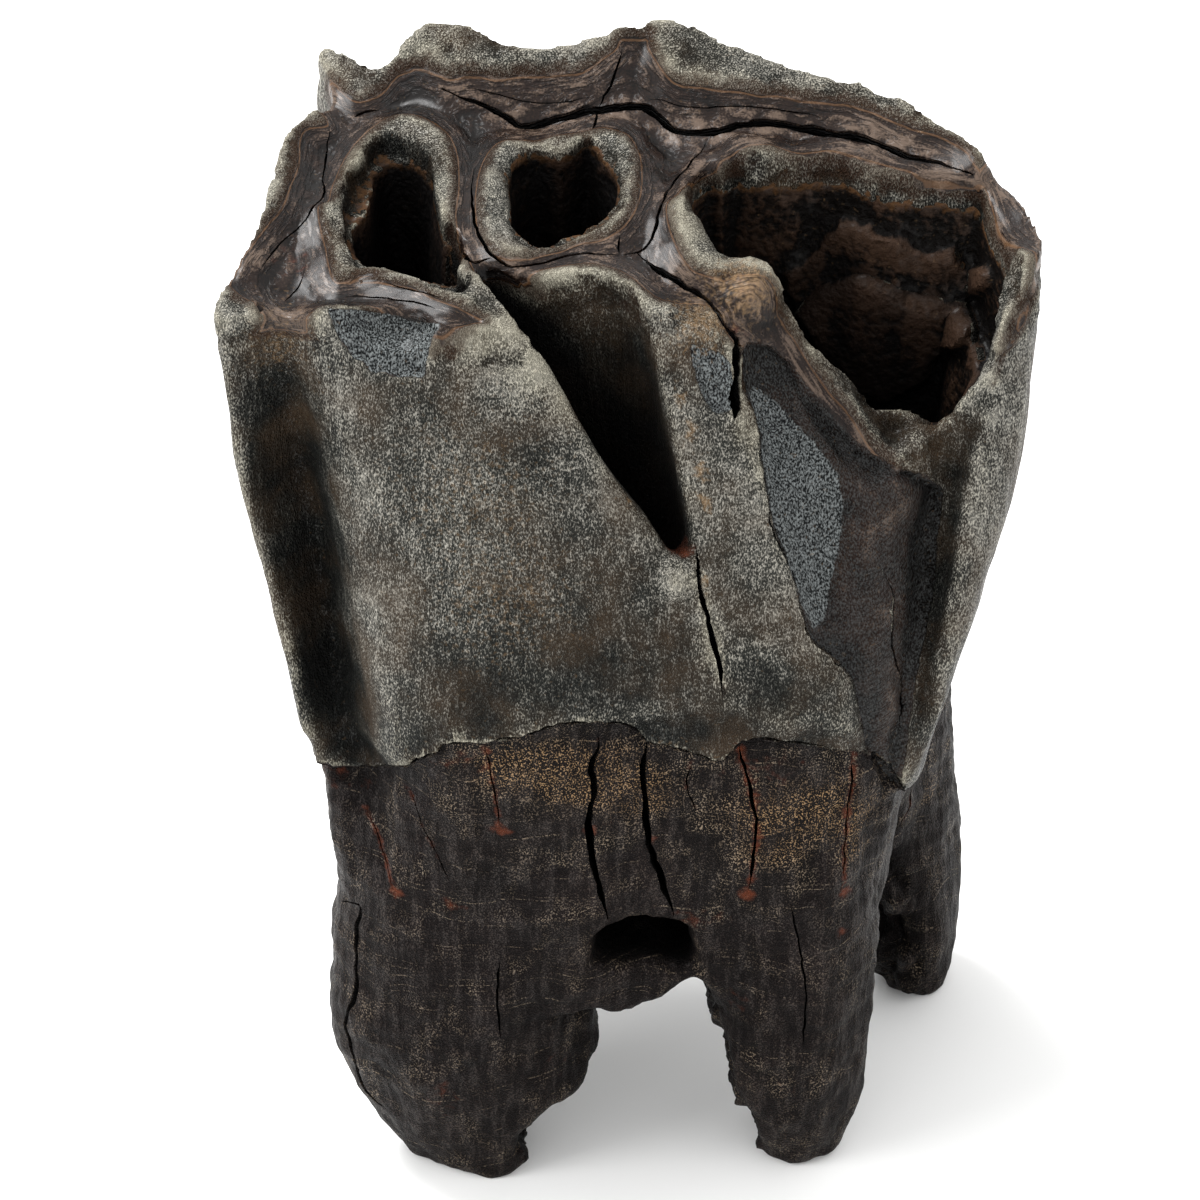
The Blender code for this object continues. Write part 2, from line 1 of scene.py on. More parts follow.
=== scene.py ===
"""Fossil upper molar of a woolly rhinoceros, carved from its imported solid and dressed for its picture.

Lengths are in millimetres until a mesh is made. Places that are given in pixels are places in the
1200 x 1200 photograph, and are carried onto the tooth by the camera that fits it.
"""
import logging
import math
from dataclasses import dataclass, field
from enum import Enum
from typing import Callable

import bmesh
import bpy
import numpy as np
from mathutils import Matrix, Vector
from mathutils.bvhtree import BVHTree
from mathutils.kdtree import KDTree


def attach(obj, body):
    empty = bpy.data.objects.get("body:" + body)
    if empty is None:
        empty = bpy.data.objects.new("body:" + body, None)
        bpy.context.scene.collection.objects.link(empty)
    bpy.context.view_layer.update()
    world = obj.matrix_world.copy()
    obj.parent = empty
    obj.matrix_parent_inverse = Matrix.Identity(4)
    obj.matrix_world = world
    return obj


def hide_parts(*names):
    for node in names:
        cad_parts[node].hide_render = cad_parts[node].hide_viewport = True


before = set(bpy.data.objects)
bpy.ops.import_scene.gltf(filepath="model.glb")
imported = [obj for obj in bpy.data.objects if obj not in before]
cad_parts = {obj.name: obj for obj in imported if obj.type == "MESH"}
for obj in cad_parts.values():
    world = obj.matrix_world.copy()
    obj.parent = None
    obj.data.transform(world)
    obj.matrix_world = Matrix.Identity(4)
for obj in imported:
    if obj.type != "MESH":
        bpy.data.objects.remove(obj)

MM = 0.001
CAD_NODE = "tooth"
BODY = "root"
SHARP = math.radians(55.0)

log = logging.getLogger("tooth")

Pixels = tuple[tuple[float, float], ...]
Height = Callable[[np.ndarray, np.ndarray], np.ndarray]


# Small tools for curves, distances and noise


def smoothstep(value: np.ndarray, low: float, high: float) -> np.ndarray:
    """Smooth ramp from 0 at low to 1 at high."""
    t = np.clip((value - low) / (high - low), 0.0, 1.0)
    return t * t * (3.0 - 2.0 * t)


def rounded_line(points: np.ndarray, closed: bool, steps: int = 4) -> np.ndarray:
    """Smooth curve through points.

    Args:
        points: the places that the curve passes, one a row.
        closed: whether the curve joins its start.
        steps: points of the curve for each span.

    Returns:
        The points of the curve. A closed one doesn't repeat its first point.
    """
    points = np.asarray(points, float)
    if closed:
        held = np.concatenate([points[-1:], points, points[:2]])
    else:
        held = np.concatenate([2 * points[:1] - points[1:2], points, 2 * points[-1:] - points[-2:-1]])
    curve = []
    for a, b, c, d in zip(held, held[1:], held[2:], held[3:]):
        for t in np.arange(steps) / steps:
            bend, twist = 2 * a - 5 * b + 4 * c - d, 3 * b - a - 3 * c + d
            curve.append(0.5 * (2 * b + (c - a) * t + bend * t**2 + twist * t**3))
    if not closed:
        curve.append(points[-1])
    return np.array(curve)


def evenly(line: np.ndarray, step: float) -> np.ndarray:
    """Points of a line at an even step along it."""
    spans = np.linalg.norm(np.diff(line, axis=0), axis=1)
    along = np.concatenate([[0.0], np.cumsum(spans)])
    count = max(3, int(along[-1] / step) + 1)
    wanted = np.linspace(0.0, along[-1], count)
    return np.column_stack([np.interp(wanted, along, line[:, axis]) for axis in range(line.shape[1])])


def gap_to(line: np.ndarray, x: np.ndarray, y: np.ndarray, closed: bool) -> np.ndarray:
    """Distance in plan from points to a line.

    Args:
        line: points of the line, of which only x and y are read.
        x: first coordinate of the points.
        y: second coordinate of the points.
        closed: whether the line joins its start.

    Returns:
        The distances.
    """
    ends = np.roll(line, -1, axis=0) if closed else line[1:]
    best = np.full(x.shape, np.inf)
    for a, b in zip(line[:, :2], ends[:, :2]):
        span = b - a
        size = max(float(span @ span), 1e-12)
        t = np.clip(((x - a[0]) * span[0] + (y - a[1]) * span[1]) / size, 0.0, 1.0)
        best = np.minimum(best, (x - a[0] - t * span[0]) ** 2 + (y - a[1] - t * span[1]) ** 2)
    return np.sqrt(best)


def inside(loop: np.ndarray, x: np.ndarray, y: np.ndarray) -> np.ndarray:
    """Whether points lie inside a closed loop in plan.

    Args:
        loop: points of the loop, of which only x and y are read.
        x: first coordinate of the points.
        y: second coordinate of the points.

    Returns:
        True for each point inside.
    """
    within = np.zeros(x.shape, bool)
    for a, b in zip(loop[:, :2], np.roll(loop, -1, axis=0)[:, :2]):
        crosses = (a[1] > y) != (b[1] > y)
        run = (b[1] - a[1]) or 1e-12
        within ^= crosses & (x < (b[0] - a[0]) * (y - a[1]) / run + a[0])
    return within


def depth_in(loop: np.ndarray, x: np.ndarray, y: np.ndarray) -> np.ndarray:
    """Distance of points to a closed loop in plan, positive inside it."""
    return gap_to(loop, x, y, True) * np.where(inside(loop, x, y), 1.0, -1.0)


def lattice(cells: np.ndarray, seed: int) -> np.ndarray:
    """Repeatable number from -1 to 1 for each whole-numbered cell."""
    cells = cells.astype(np.int64)
    mixed = cells[..., 0] * 73856093 ^ cells[..., 1] * 19349663 ^ cells[..., 2] * 83492791 ^ seed * 40503
    mixed = (mixed ^ (mixed >> 13)) * 1274126177
    mixed = mixed ^ (mixed >> 16)
    return (mixed & 0xFFFFFF) / 0x7FFFFF - 1.0


def noise(points: np.ndarray, size: float, seed: int, rounds: int = 1) -> np.ndarray:
    """Smooth solid noise.

    Args:
        points: places, one a row.
        size: distance over which the noise changes, in the unit of the places.
        seed: picks one noise among many.
        rounds: how often finer noise of half the size and strength is added.

    Returns:
        A number about from -1 to 1 for each place.
    """
    total = np.zeros(len(points))
    share = 1.0
    for turn in range(rounds):
        spots = points / size + 17.3 * turn
        cell = np.floor(spots)
        part = spots - cell
        part = part * part * (3.0 - 2.0 * part)
        value = np.zeros(len(points))
        for corner in np.ndindex(2, 2, 2):
            weight = np.prod(np.where(corner, part, 1.0 - part), axis=1)
            value += weight * lattice(cell + corner, seed + turn)
        total += share * value
        share *= 0.5
        size *= 0.5
    return total


# Camera


@dataclass(frozen=True)
class StudioCamera:
    """The camera that fits the photograph: square to the tongue side, and looking down at it.

    Attributes:
        turn: degrees by which it is carried round the tooth. Turned ones only place details.
    """

    turn: float = 0.0
    elevation: float = 35.0
    distance: float = 357.0
    target: tuple[float, float, float] = (-1.8, -1.0, 42.3)
    lens: float = 150.0
    sensor: float = 36.0
    picture: float = 1200.0

    @property
    def focal(self) -> float:
        """Length of the lens in pixels."""
        return self.picture * self.lens / self.sensor

    @property
    def axes(self) -> tuple[np.ndarray, np.ndarray, np.ndarray]:
        """Directions of right, up and forwards."""
        c, s = math.cos(math.radians(self.elevation)), math.sin(math.radians(self.elevation))
        a, b = math.cos(math.radians(self.turn)), math.sin(math.radians(self.turn))
        return np.array([a, b, 0.0]), np.array([-b * s, a * s, c]), np.array([-b * c, a * c, -s])

    @property
    def place(self) -> np.ndarray:
        """Where the camera stands."""
        return np.array(self.target) - self.distance * self.axes[2]

    def rays(self, pixels: Pixels) -> np.ndarray:
        """Unit directions of the rays through pixels."""
        right, up, forwards = self.axes
        away = (np.asarray(pixels, float) - 0.5 * self.picture) / self.focal
        rays = forwards + away[:, :1] * right - away[:, 1:] * up
        return rays / np.linalg.norm(rays, axis=1, keepdims=True)

    def pixels_of(self, places: np.ndarray) -> np.ndarray:
        """Pixels in which places appear, one a row."""
        right, up, forwards = self.axes
        away = places - self.place
        deep, middle = away @ forwards, 0.5 * self.picture
        across, upwards = self.focal * (away @ right) / deep, self.focal * (away @ up) / deep
        return np.column_stack([middle + across, middle - upwards])

    def onto_height(self, pixels: Pixels, height: Height, top: float = 86.0, low: float = 50.0) -> np.ndarray:
        """Places where the rays through pixels first meet a surface that is given by its height.

        Args:
            pixels: places in the photograph.
            height: function of x and y that gives the surface's height.
            top: level at which the search begins.
            low: level at which it ends.

        Returns:
            The places, one a row.
        """
        rays = self.rays(pixels)
        levels = np.linspace(top, low, 361)
        run = (levels[None] - self.place[2]) / rays[:, 2:]
        x = self.place[0] + run * rays[:, :1]
        y = self.place[1] + run * rays[:, 1:2]
        under = levels[None] <= height(x, y)
        first = np.where(under.any(axis=1), under.argmax(axis=1), len(levels) - 1)
        rows = np.arange(len(rays))
        return np.column_stack([x[rows, first], y[rows, first], levels[first]])

    def onto_tree(self, pixels: Pixels, tree: BVHTree) -> tuple[np.ndarray, np.ndarray]:
        """Places where the rays through pixels first meet a mesh, and its normals there.

        Args:
            pixels: places in the photograph. One whose ray misses is left out.
            tree: the mesh.

        Returns:
            The places and the normals, one a row.
        """
        hits = [tree.ray_cast(Vector(self.place), Vector(ray)) for ray in self.rays(pixels)]
        hits = [hit for hit in hits if hit[0] is not None]
        return np.array([hit[0] for hit in hits]), np.array([hit[1] for hit in hits])

    def build(self) -> bpy.types.Object:
        """Make the camera and give it to the scene.

        Returns:
            The camera's object.
        """
        data = bpy.data.cameras.new("studio camera")
        data.lens, data.sensor_width = self.lens, self.sensor
        data.clip_start, data.clip_end = 0.01, 20.0
        camera = bpy.data.objects.new("studio_camera", data)
        camera.location = Vector(self.place * MM)
        camera.rotation_euler = (math.radians(90.0 - self.elevation), 0.0, 0.0)
        bpy.context.scene.collection.objects.link(camera)
        bpy.context.scene.camera = camera
        return camera


class Side(Enum):
    """Sides from which details are laid onto the tooth."""

    TONGUE = StudioCamera()
    CHEEK = StudioCamera(turn=180.0, elevation=10.0)
    REAR = StudioCamera(turn=90.0, elevation=10.0)
    FRONT = StudioCamera(turn=-90.0, elevation=10.0)


# The worn chewing surface


@dataclass
class Pit:
    """One of the enamel-walled pits of the chewing surface.

    Attributes:
        name: what the pit is called.
        junction: pixels along the outer edge of its enamel ring, where dentine begins.
        hole: pixels along the edge of its hole.
        lining: pixels along the ragged inner edge of the brown lining. Without any, the lining follows
            the hole, a little inside it.
        fall: how far the enamel slopes down from the ring to the hole.
        enamel: height of the enamel wall above the lining's edge.
        levels: levels of the lining's edge at places along x, where it lies deeper than the enamel wall.
        floor: level of the bottom.
    """

    name: str
    junction: Pixels
    hole: Pixels
    lining: Pixels
    fall: float
    enamel: float
    levels: tuple[tuple[float, float], ...]
    floor: float


@dataclass
class ChewingSurface:
    """Height of the worn surface, with the relief of enamel and dentine."""

    spots: tuple[tuple[float, float, float], ...] = (
        (-27.2, -11.4, 71.5), (-25.0, -6.7, 73.6), (-23.4, -0.4, 74.8), (-22.8, 7.2, 76.0),
        (-22.2, -4.0, 73.4), (-21.4, 3.0, 74.6), (-22.5, -8.6, 72.4), (-17.5, -9.4, 72.3),
        (-19.0, -12.4, 72.6), (-12.0, -12.6, 72.5), (-8.6, -11.4, 72.0), (-11.6, 0.5, 74.6),
        (-8.5, -7.2, 73.6), (-3.5, -7.4, 73.0), (2.0, -4.0, 74.2), (-15.5, 10.6, 76.0), (-5.5, 8.6, 75.4),
        (2.6, 6.5, 75.2), (12.0, 7.0, 75.2), (20.0, 4.2, 74.8), (3.8, -2.5, 75.2), (9.2, -6.4, 73.6),
        (5.8, -7.4, 73.0), (11.8, -8.0, 68.8), (15.0, -9.8, 63.6), (17.6, -10.4, 60.2), (15.6, -13.6, 58.2),
        (9.5, -13.5, 64.0), (6.0, -11.5, 70.0), (1.0, -10.0, 72.6), (20.6, -9.4, 61.6), (23.2, -8.2, 66.6),
        (27.4, -6.0, 73.6), (25.0, -8.4, 69.5), (27.0, 0.0, 73.8), (25.2, 3.0, 74.0),
    )
    crest: tuple[tuple[float, float, float], ...] = (
        (-21.4, 14.4, 77.0), (-19.9, 14.8, 77.8), (-17.2, 12.6, 76.6), (-14.4, 13.8, 79.2),
        (-12.2, 13.8, 79.4), (-7.5, 12.8, 78.2), (-4.0, 12.8, 78.6), (-0.6, 13.4, 79.4), (1.2, 13.6, 78.9),
        (2.8, 14.2, 79.8), (6.5, 13.0, 78.6), (11.0, 11.8, 78.2), (15.6, 10.8, 77.8), (19.2, 9.2, 77.0),
        (22.4, 6.6, 75.9), (24.2, 3.2, 75.0),
    )
    pits: tuple[Pit, ...] = (
        Pit(
            "front fossette",
            (
                (338, 279), (330, 262), (327, 245), (322, 225), (320, 205), (330, 198), (333, 185),
                (342, 165), (352, 148), (365, 132), (380, 120), (395, 113), (410, 114), (425, 117),
                (438, 124), (448, 135), (455, 150), (457, 170), (457, 190), (454, 210), (456, 228),
                (460, 243), (467, 257), (472, 268), (462, 292), (440, 288), (415, 280), (390, 274),
                (365, 272),
            ),
            (
                (358, 266), (350, 246), (345, 225), (342, 205), (344, 190), (350, 176), (359, 162),
                (367, 148), (377, 137), (388, 132), (402, 137), (417, 143), (427, 151), (432, 163),
                (434, 180), (436, 200), (439, 220), (444, 238), (450, 252), (457, 266), (466, 284),
                (460, 292), (440, 284), (415, 276), (390, 269), (372, 266),
            ),
            (
                (362, 262), (352, 232), (366, 216), (372, 195), (376, 180), (380, 170), (388, 164),
                (400, 163), (412, 165), (422, 172), (430, 184), (433, 200), (437, 220), (443, 240),
                (452, 262), (462, 286), (440, 282), (410, 274), (385, 267),
            ),
            0.25, 1.7, ((0.0, 90.0),), 54.0,
        ),
        Pit(
            "middle fossette",
            (
                (500, 140), (515, 139), (540, 137), (560, 133), (580, 131), (600, 127), (614, 127),
                (624, 131), (632, 140), (638, 152), (640, 166), (640, 181), (638, 196), (634, 207),
                (627, 218), (616, 228), (600, 236), (580, 240), (560, 246), (540, 252), (524, 256),
                (508, 256), (494, 251), (484, 241), (479, 225), (477, 205), (478, 186), (482, 166),
                (490, 150),
            ),
            (
                (506, 196), (503, 176), (508, 160), (519, 150), (534, 145), (550, 149), (565, 147),
                (580, 142), (595, 140), (609, 143), (618, 154), (621, 172), (620, 190), (616, 205),
                (608, 218), (594, 228), (576, 236), (556, 243), (538, 246), (522, 242), (511, 232),
                (507, 215),
            ),
            (
                (511, 200), (509, 186), (512, 174), (518, 166), (526, 159), (536, 156), (548, 158),
                (559, 161), (568, 158), (575, 153), (581, 150), (590, 147), (597, 152), (605, 162),
                (612, 170), (617, 181), (617, 192), (615, 203), (608, 214), (596, 224), (578, 232),
                (560, 239), (542, 243), (527, 239), (517, 230), (512, 218),
            ),
            0.15, 0.8, ((0.0, 90.0),), 56.0,
        ),
        Pit(
            "rear fossette",
            (
                (668, 204), (680, 190), (690, 176), (705, 166), (720, 156), (735, 148), (752, 143),
                (772, 143), (792, 148), (812, 147), (832, 147), (852, 150), (872, 157), (892, 163),
                (908, 167), (926, 172), (946, 174), (966, 176), (984, 182), (992, 205), (1000, 228),
                (1016, 244), (1036, 262), (1010, 330), (985, 420), (930, 470), (890, 462), (868, 440),
                (850, 412), (832, 390), (812, 365), (796, 340), (780, 312), (768, 290), (740, 282),
                (712, 275), (688, 262), (674, 235),
            ),
            (
                (692, 196), (700, 180), (712, 176), (722, 177), (734, 171), (746, 172), (762, 174),
                (790, 175), (815, 172), (845, 172), (870, 182), (900, 190), (930, 192), (960, 193),
                (980, 198), (984, 212), (990, 230), (999, 246), (1008, 266), (1000, 300), (992, 335),
                (980, 375), (955, 405), (920, 428), (890, 436), (872, 416), (856, 394), (846, 374),
                (826, 358), (808, 336), (792, 316), (782, 292), (770, 270), (752, 258), (726, 256),
                (712, 240), (702, 220),
            ),
            (),
            1.6, 1.2,
            (
                (3.0, 56.0), (8.5, 57.0), (11.0, 60.8), (13.0, 63.5), (15.8, 66.6), (20.0, 65.2),
                (24.0, 64.8), (26.0, 63.4),
            ),
            49.0,
        ),
    )
    dentine: Pixels = (
        (318, 74), (307, 88), (312, 100), (322, 113), (326, 122), (312, 124), (303, 128), (298, 140),
        (297, 162), (289, 182), (281, 205), (262, 226), (246, 248), (228, 280), (236, 292), (248, 301),
        (258, 313), (272, 320), (290, 323), (305, 316), (318, 307), (330, 304), (345, 305), (365, 304),
        (385, 307), (405, 315), (425, 320), (440, 325), (455, 325), (470, 323), (484, 321), (480, 317),
        (470, 311), (455, 303), (435, 295), (415, 287), (395, 281), (375, 279), (352, 278), (400, 268),
        (440, 262), (472, 266), (480, 272), (490, 277), (502, 280), (514, 281), (517, 275), (530, 272),
        (545, 268), (560, 265), (575, 262), (592, 262), (606, 265), (620, 269), (632, 277), (646, 289),
        (658, 299), (674, 303), (692, 303), (708, 304), (717, 313), (721, 325), (728, 335), (736, 346),
        (748, 350), (757, 368), (776, 386), (792, 397), (806, 412), (826, 436), (850, 462), (880, 500),
        (1010, 440), (1060, 260), (1000, 160), (980, 164), (968, 150), (955, 140), (940, 134), (920, 128),
        (900, 121), (880, 113), (860, 106), (845, 101), (830, 100), (815, 100), (800, 98), (780, 93),
        (760, 92), (740, 90), (722, 88), (705, 85), (690, 83), (676, 80), (665, 70), (657, 58), (649, 44),
        (648, 36), (622, 36), (615, 46), (605, 54), (592, 63), (578, 72), (560, 70), (540, 73), (520, 74),
        (500, 76), (480, 73), (465, 74), (450, 75), (435, 69), (420, 65), (406, 68), (395, 75), (385, 86),
        (375, 95), (365, 98), (354, 98), (345, 91), (334, 80),
    )
    crack: tuple[tuple[float, float], ...] = (
        (-16.0, 9.9), (-13.5, 10.5), (-11.0, 9.5), (-7.2, 7.9), (-3.0, 8.5), (1.0, 9.2), (4.4, 7.4),
        (7.4, 6.9), (11.3, 8.0), (16.1, 6.4), (20.8, 4.0), (24.2, 1.8),
    )
    rim_height: float = 1.05
    dentine_rise: float = 0.5
    rise_width: float = 1.3
    terrace: float = 0.22
    edge_drop: float = 0.45
    edge_width: float = 0.4
    grain: float = 0.07
    wall_from: float = 0.9
    step: float = 0.22
    reach: tuple[float, float] = (31.0, 24.0)
    top: float = 90.0
    worn_share: float = 0.8
    lining_size: float = 0.84
    film: Height = field(init=False)

    @property
    def worn(self) -> float:
        """How far worn enamel stands over the film."""
        return self.worn_share * self.rim_height

    def __post_init__(self) -> None:
        """Stretch the film and carry the loops from the photograph onto it."""
        self.film = self.taut_film()

        def laid(loop: Pixels, depth: float) -> np.ndarray:
            """Smooth loop on the worn surface of the enamel, lowered by a depth."""
            line = Side.TONGUE.value.onto_height(loop, lambda x, y: self.film(x, y) + self.worn - depth)
            return rounded_line(line, True)

        self.rings = [laid(pit.junction, 0.0) for pit in self.pits]
        self.holes = [laid(pit.hole, pit.fall) for pit in self.pits]
        self.limit = laid(self.dentine, 0.0)
        self.linings = []
        for pit, hole in zip(self.pits, self.holes):
            if pit.lining:
                line = laid(pit.lining, pit.fall + pit.enamel)
            else:
                middle = hole.mean(axis=0)
                line = middle + (hole - middle) * self.lining_size
            self.linings.append(line)

    def taut_film(self) -> Height:
        """Taut film through the spots and the crest.

        Returns:
            Function of x and y that gives its height.
        """
        held = np.array(self.spots + self.crest)
        plan, count = held[:, :2], len(held)
        system = np.zeros((count + 3, count + 3))
        system[:count, :count] = np.linalg.norm(plan[:, None] - plan[None], axis=2)
        system[:count, count] = system[count, :count] = 1.0
        system[:count, count + 1 :] = plan
        system[count + 1 :, :count] = plan.T
        weights = np.linalg.solve(system, np.concatenate([held[:, 2], np.zeros(3)]))

        def height(x: np.ndarray, y: np.ndarray) -> np.ndarray:
            """Height of the film."""
            total = weights[count] + weights[count + 1] * x + weights[count + 2] * y
            for (px, py), weight in zip(plan, weights):
                total = total + weight * np.hypot(x - px, y - py)
            return total

        return height

    def junction(self, x: np.ndarray, y: np.ndarray) -> np.ndarray:
        """Distance in plan to the line between enamel and dentine, positive in the enamel."""
        best = -depth_in(self.limit, x, y)
        for ring in self.rings:
            best = np.maximum(best, depth_in(ring, x, y))
        return best

    def height(self, x: np.ndarray, y: np.ndarray) -> np.ndarray:
        """Height of the worn surface with its relief.

        Args:
            x: first coordinate of places in plan.
            y: second coordinate of the places.

        Returns:
            The height at each place.
        """
        seam = self.junction(x, y)
        level = self.film(x, y)
        flat = np.column_stack([x.ravel(), y.ravel(), np.zeros(x.size)])
        wavy = noise(flat, 1.6, 5, 2).reshape(x.shape)
        level += self.dentine_rise * np.exp(-((np.minimum(seam, 0.0) / self.rise_width) ** 2))
        level += (self.rim_height - self.dentine_rise) * smoothstep(seam, -0.05, 0.35)
        level -= self.terrace * smoothstep(-seam + 0.3 * wavy, 1.55, 1.75)
        for pit, ring, hole in zip(self.pits, self.rings, self.holes):
            edge = gap_to(hole, x, y, True)
            level -= self.edge_drop * np.exp(-edge / self.edge_width)
            within = np.maximum(depth_in(ring, x, y), 0.0)
            level -= pit.fall * (within / (within + np.where(inside(hole, x, y), 0.0, edge) + 1e-6)) ** 1.5
        fine = noise(flat, 0.9, 3, 2).reshape(x.shape)
        level += self.grain * fine + 0.1 * wavy * smoothstep(seam, 0.0, 0.5)
        return level

    def ledge(self, pit: Pit, x: np.ndarray, y: np.ndarray) -> np.ndarray:
        """Level of the lining's upper edge."""
        worn = self.film(x, y) + self.worn - pit.fall - pit.enamel
        return np.minimum(worn, np.interp(x, *zip(*pit.levels)))

    def cutter(self) -> bpy.types.Object:
        """Solid that fills all the space over the worn surface.

        Returns:
            The solid.
        """
        across, deep = (int(2 * reach / self.step) for reach in self.reach)
        form = bmesh.new()
        bmesh.ops.create_grid(form, x_segments=across, y_segments=deep, size=1.0)
        bmesh.ops.scale(form, vec=(*self.reach, 1.0), verts=form.verts)
        plan = np.array([vert.co for vert in form.verts])
        for vert, level in zip(form.verts, self.height(plan[:, 0], plan[:, 1])):
            vert.co.z = level
        raised = bmesh.ops.extrude_face_region(form, geom=form.faces[:])["geom"]
        for vert in (item for item in raised if isinstance(item, bmesh.types.BMVert)):
            vert.co.z = self.top
        return finished(form, "worn away")


# Meshes


def finished(form: bmesh.types.BMesh, name: str) -> bpy.types.Object:
    """Object made from a closed bmesh in millimetres, with its faces turned outwards.

    Args:
        form: the bmesh, which is freed.
        name: name of the object.

    Returns:
        The object, linked to the scene.
    """
    bmesh.ops.recalc_face_normals(form, faces=form.faces)
    mesh = bpy.data.meshes.new(name)
    form.to_mesh(mesh)
    form.free()
    made = bpy.data.objects.new(name, mesh)
    bpy.context.scene.collection.objects.link(made)
    return made


def prism(name: str, sections: list[np.ndarray]) -> bpy.types.Object:
    """Closed solid through rings of points that match one to one.

    Args:
        name: name of the object.
        sections: the rings in order, each with the same number of rows of x, y and z.

    Returns:
        The object.
    """
    around, rows = len(sections[0]), len(sections)
    form = bmesh.new()
    bmesh.ops.create_grid(form, x_segments=around, y_segments=rows - 1, size=1.0)
    for vert in form.verts:
        column = round((vert.co.x + 1.0) * 0.5 * around)
        row = round((vert.co.y + 1.0) * 0.5 * (rows - 1))
        vert.co = sections[row][column % around]
    bmesh.ops.remove_doubles(form, verts=form.verts, dist=1e-5)
    rims = [edge for edge in form.edges if edge.is_boundary]
    bmesh.ops.holes_fill(form, edges=rims, sides=0)
    bmesh.ops.triangulate(form, faces=form.faces)
    return finished(form, name)


def applied(obj: bpy.types.Object) -> None:
    """Make what the object's modifiers show its own mesh, and drop them."""
    bpy.context.view_layer.update()
    graph = bpy.context.evaluated_depsgraph_get()
    mesh = bpy.data.meshes.new_from_object(obj.evaluated_get(graph))
    obj.modifiers.clear()
    obj.data = mesh


def combine(obj: bpy.types.Object, other: bpy.types.Object, operation: str) -> None:
    """Join another solid to the object or cut it out, and remove the other.

    Args:
        obj: the object.
        other: the other solid.
        operation: UNION or DIFFERENCE.
    """
    modifier = obj.modifiers.new(operation, "BOOLEAN")
    modifier.operation = operation
    modifier.object = other
    modifier.solver = "MANIFOLD"
    applied(obj)
    bpy.data.objects.remove(other)


def remeshed(obj: bpy.types.Object, voxel: float) -> None:
    """Give the object an even skin of small faces."""
    modifier = obj.modifiers.new("even skin", "REMESH")
    modifier.mode = "VOXEL"
    modifier.voxel_size = voxel
    applied(obj)


def coordinates(obj: bpy.types.Object) -> np.ndarray:
    """Places of the object's vertices, one a row."""
    flat = np.empty(3 * len(obj.data.vertices), np.float32)
    obj.data.vertices.foreach_get("co", flat)
    return flat.reshape(-1, 3).astype(float)


def normals(obj: bpy.types.Object) -> np.ndarray:
    """Normals of the object's vertices, one a row."""
    flat = np.empty(3 * len(obj.data.vertices), np.float32)
    obj.data.vertex_normals.foreach_get("vector", flat)
    return flat.reshape(-1, 3).astype(float)


def set_coordinates(obj: bpy.types.Object, places: np.ndarray) -> None:
    """Move the object's vertices to these places."""
    obj.data.vertices.foreach_set("co", places.astype(np.float32).ravel())
    obj.data.update()


def store(obj: bpy.types.Object, name: str, values: np.ndarray) -> None:
    """Keep one number for each vertex under a name that materials can read."""
    made = obj.data.attributes.new(name, "FLOAT", "POINT")
    made.data.foreach_set("value", values.astype(np.float32))


def tree_of(obj: bpy.types.Object) -> BVHTree:
    """Search tree of the object's faces."""
    form = bmesh.new()
    form.from_mesh(obj.data)
    tree = BVHTree.FromBMesh(form)
    form.free()
    return tree


def smoothed(obj: bpy.types.Object, rows: np.ndarray, rounds: int) -> np.ndarray:
    """Rows of numbers of the object's vertices after each is drawn to the mean of its neighbours.

    Args:
        obj: the object.
        rows: the numbers, one row for each vertex.
        rounds: how often they are drawn.

    Returns:
        The rows, smoother.
    """
    ends = np.empty(2 * len(obj.data.edges), np.int32)
    obj.data.edges.foreach_get("vertices", ends)
    a, b = ends[0::2], ends[1::2]
    count = np.maximum(np.bincount(ends, minlength=len(rows)), 1)
    for _ in range(rounds):
        total = np.column_stack([
            np.bincount(a, rows[b, column], len(rows)) + np.bincount(b, rows[a, column], len(rows))
            for column in range(rows.shape[1])
        ])
        rows = 0.4 * rows + 0.6 * total / count[:, None]
    return rows


# Details that are laid onto the tooth


@dataclass(frozen=True)
class Crack:
    """Crack along a line of pixels.

    Attributes:
        line: the pixels.
        width: width at the surface.
        depth: depth below it.
        rust: how much it has stained its sides.
        side: camera whose pixels they are.
    """

    line: Pixels
    width: float
    depth: float
    rust: float = 0.0
    side: Side = Side.TONGUE


CERVIX: Pixels = (
    (300, 740), (309, 759), (337, 767), (372, 766), (408, 765), (416, 759), (430, 757), (438, 752),
    (443, 745), (459, 743), (484, 743), (502, 740), (519, 737), (540, 730), (561, 724), (595, 722),
    (628, 724), (640, 732), (647, 743), (662, 744), (675, 748), (690, 752), (704, 757), (715, 762),
    (726, 759), (739, 743), (760, 738), (780, 741), (800, 743), (820, 746), (840, 750), (862, 750),
    (885, 762), (905, 790),
)

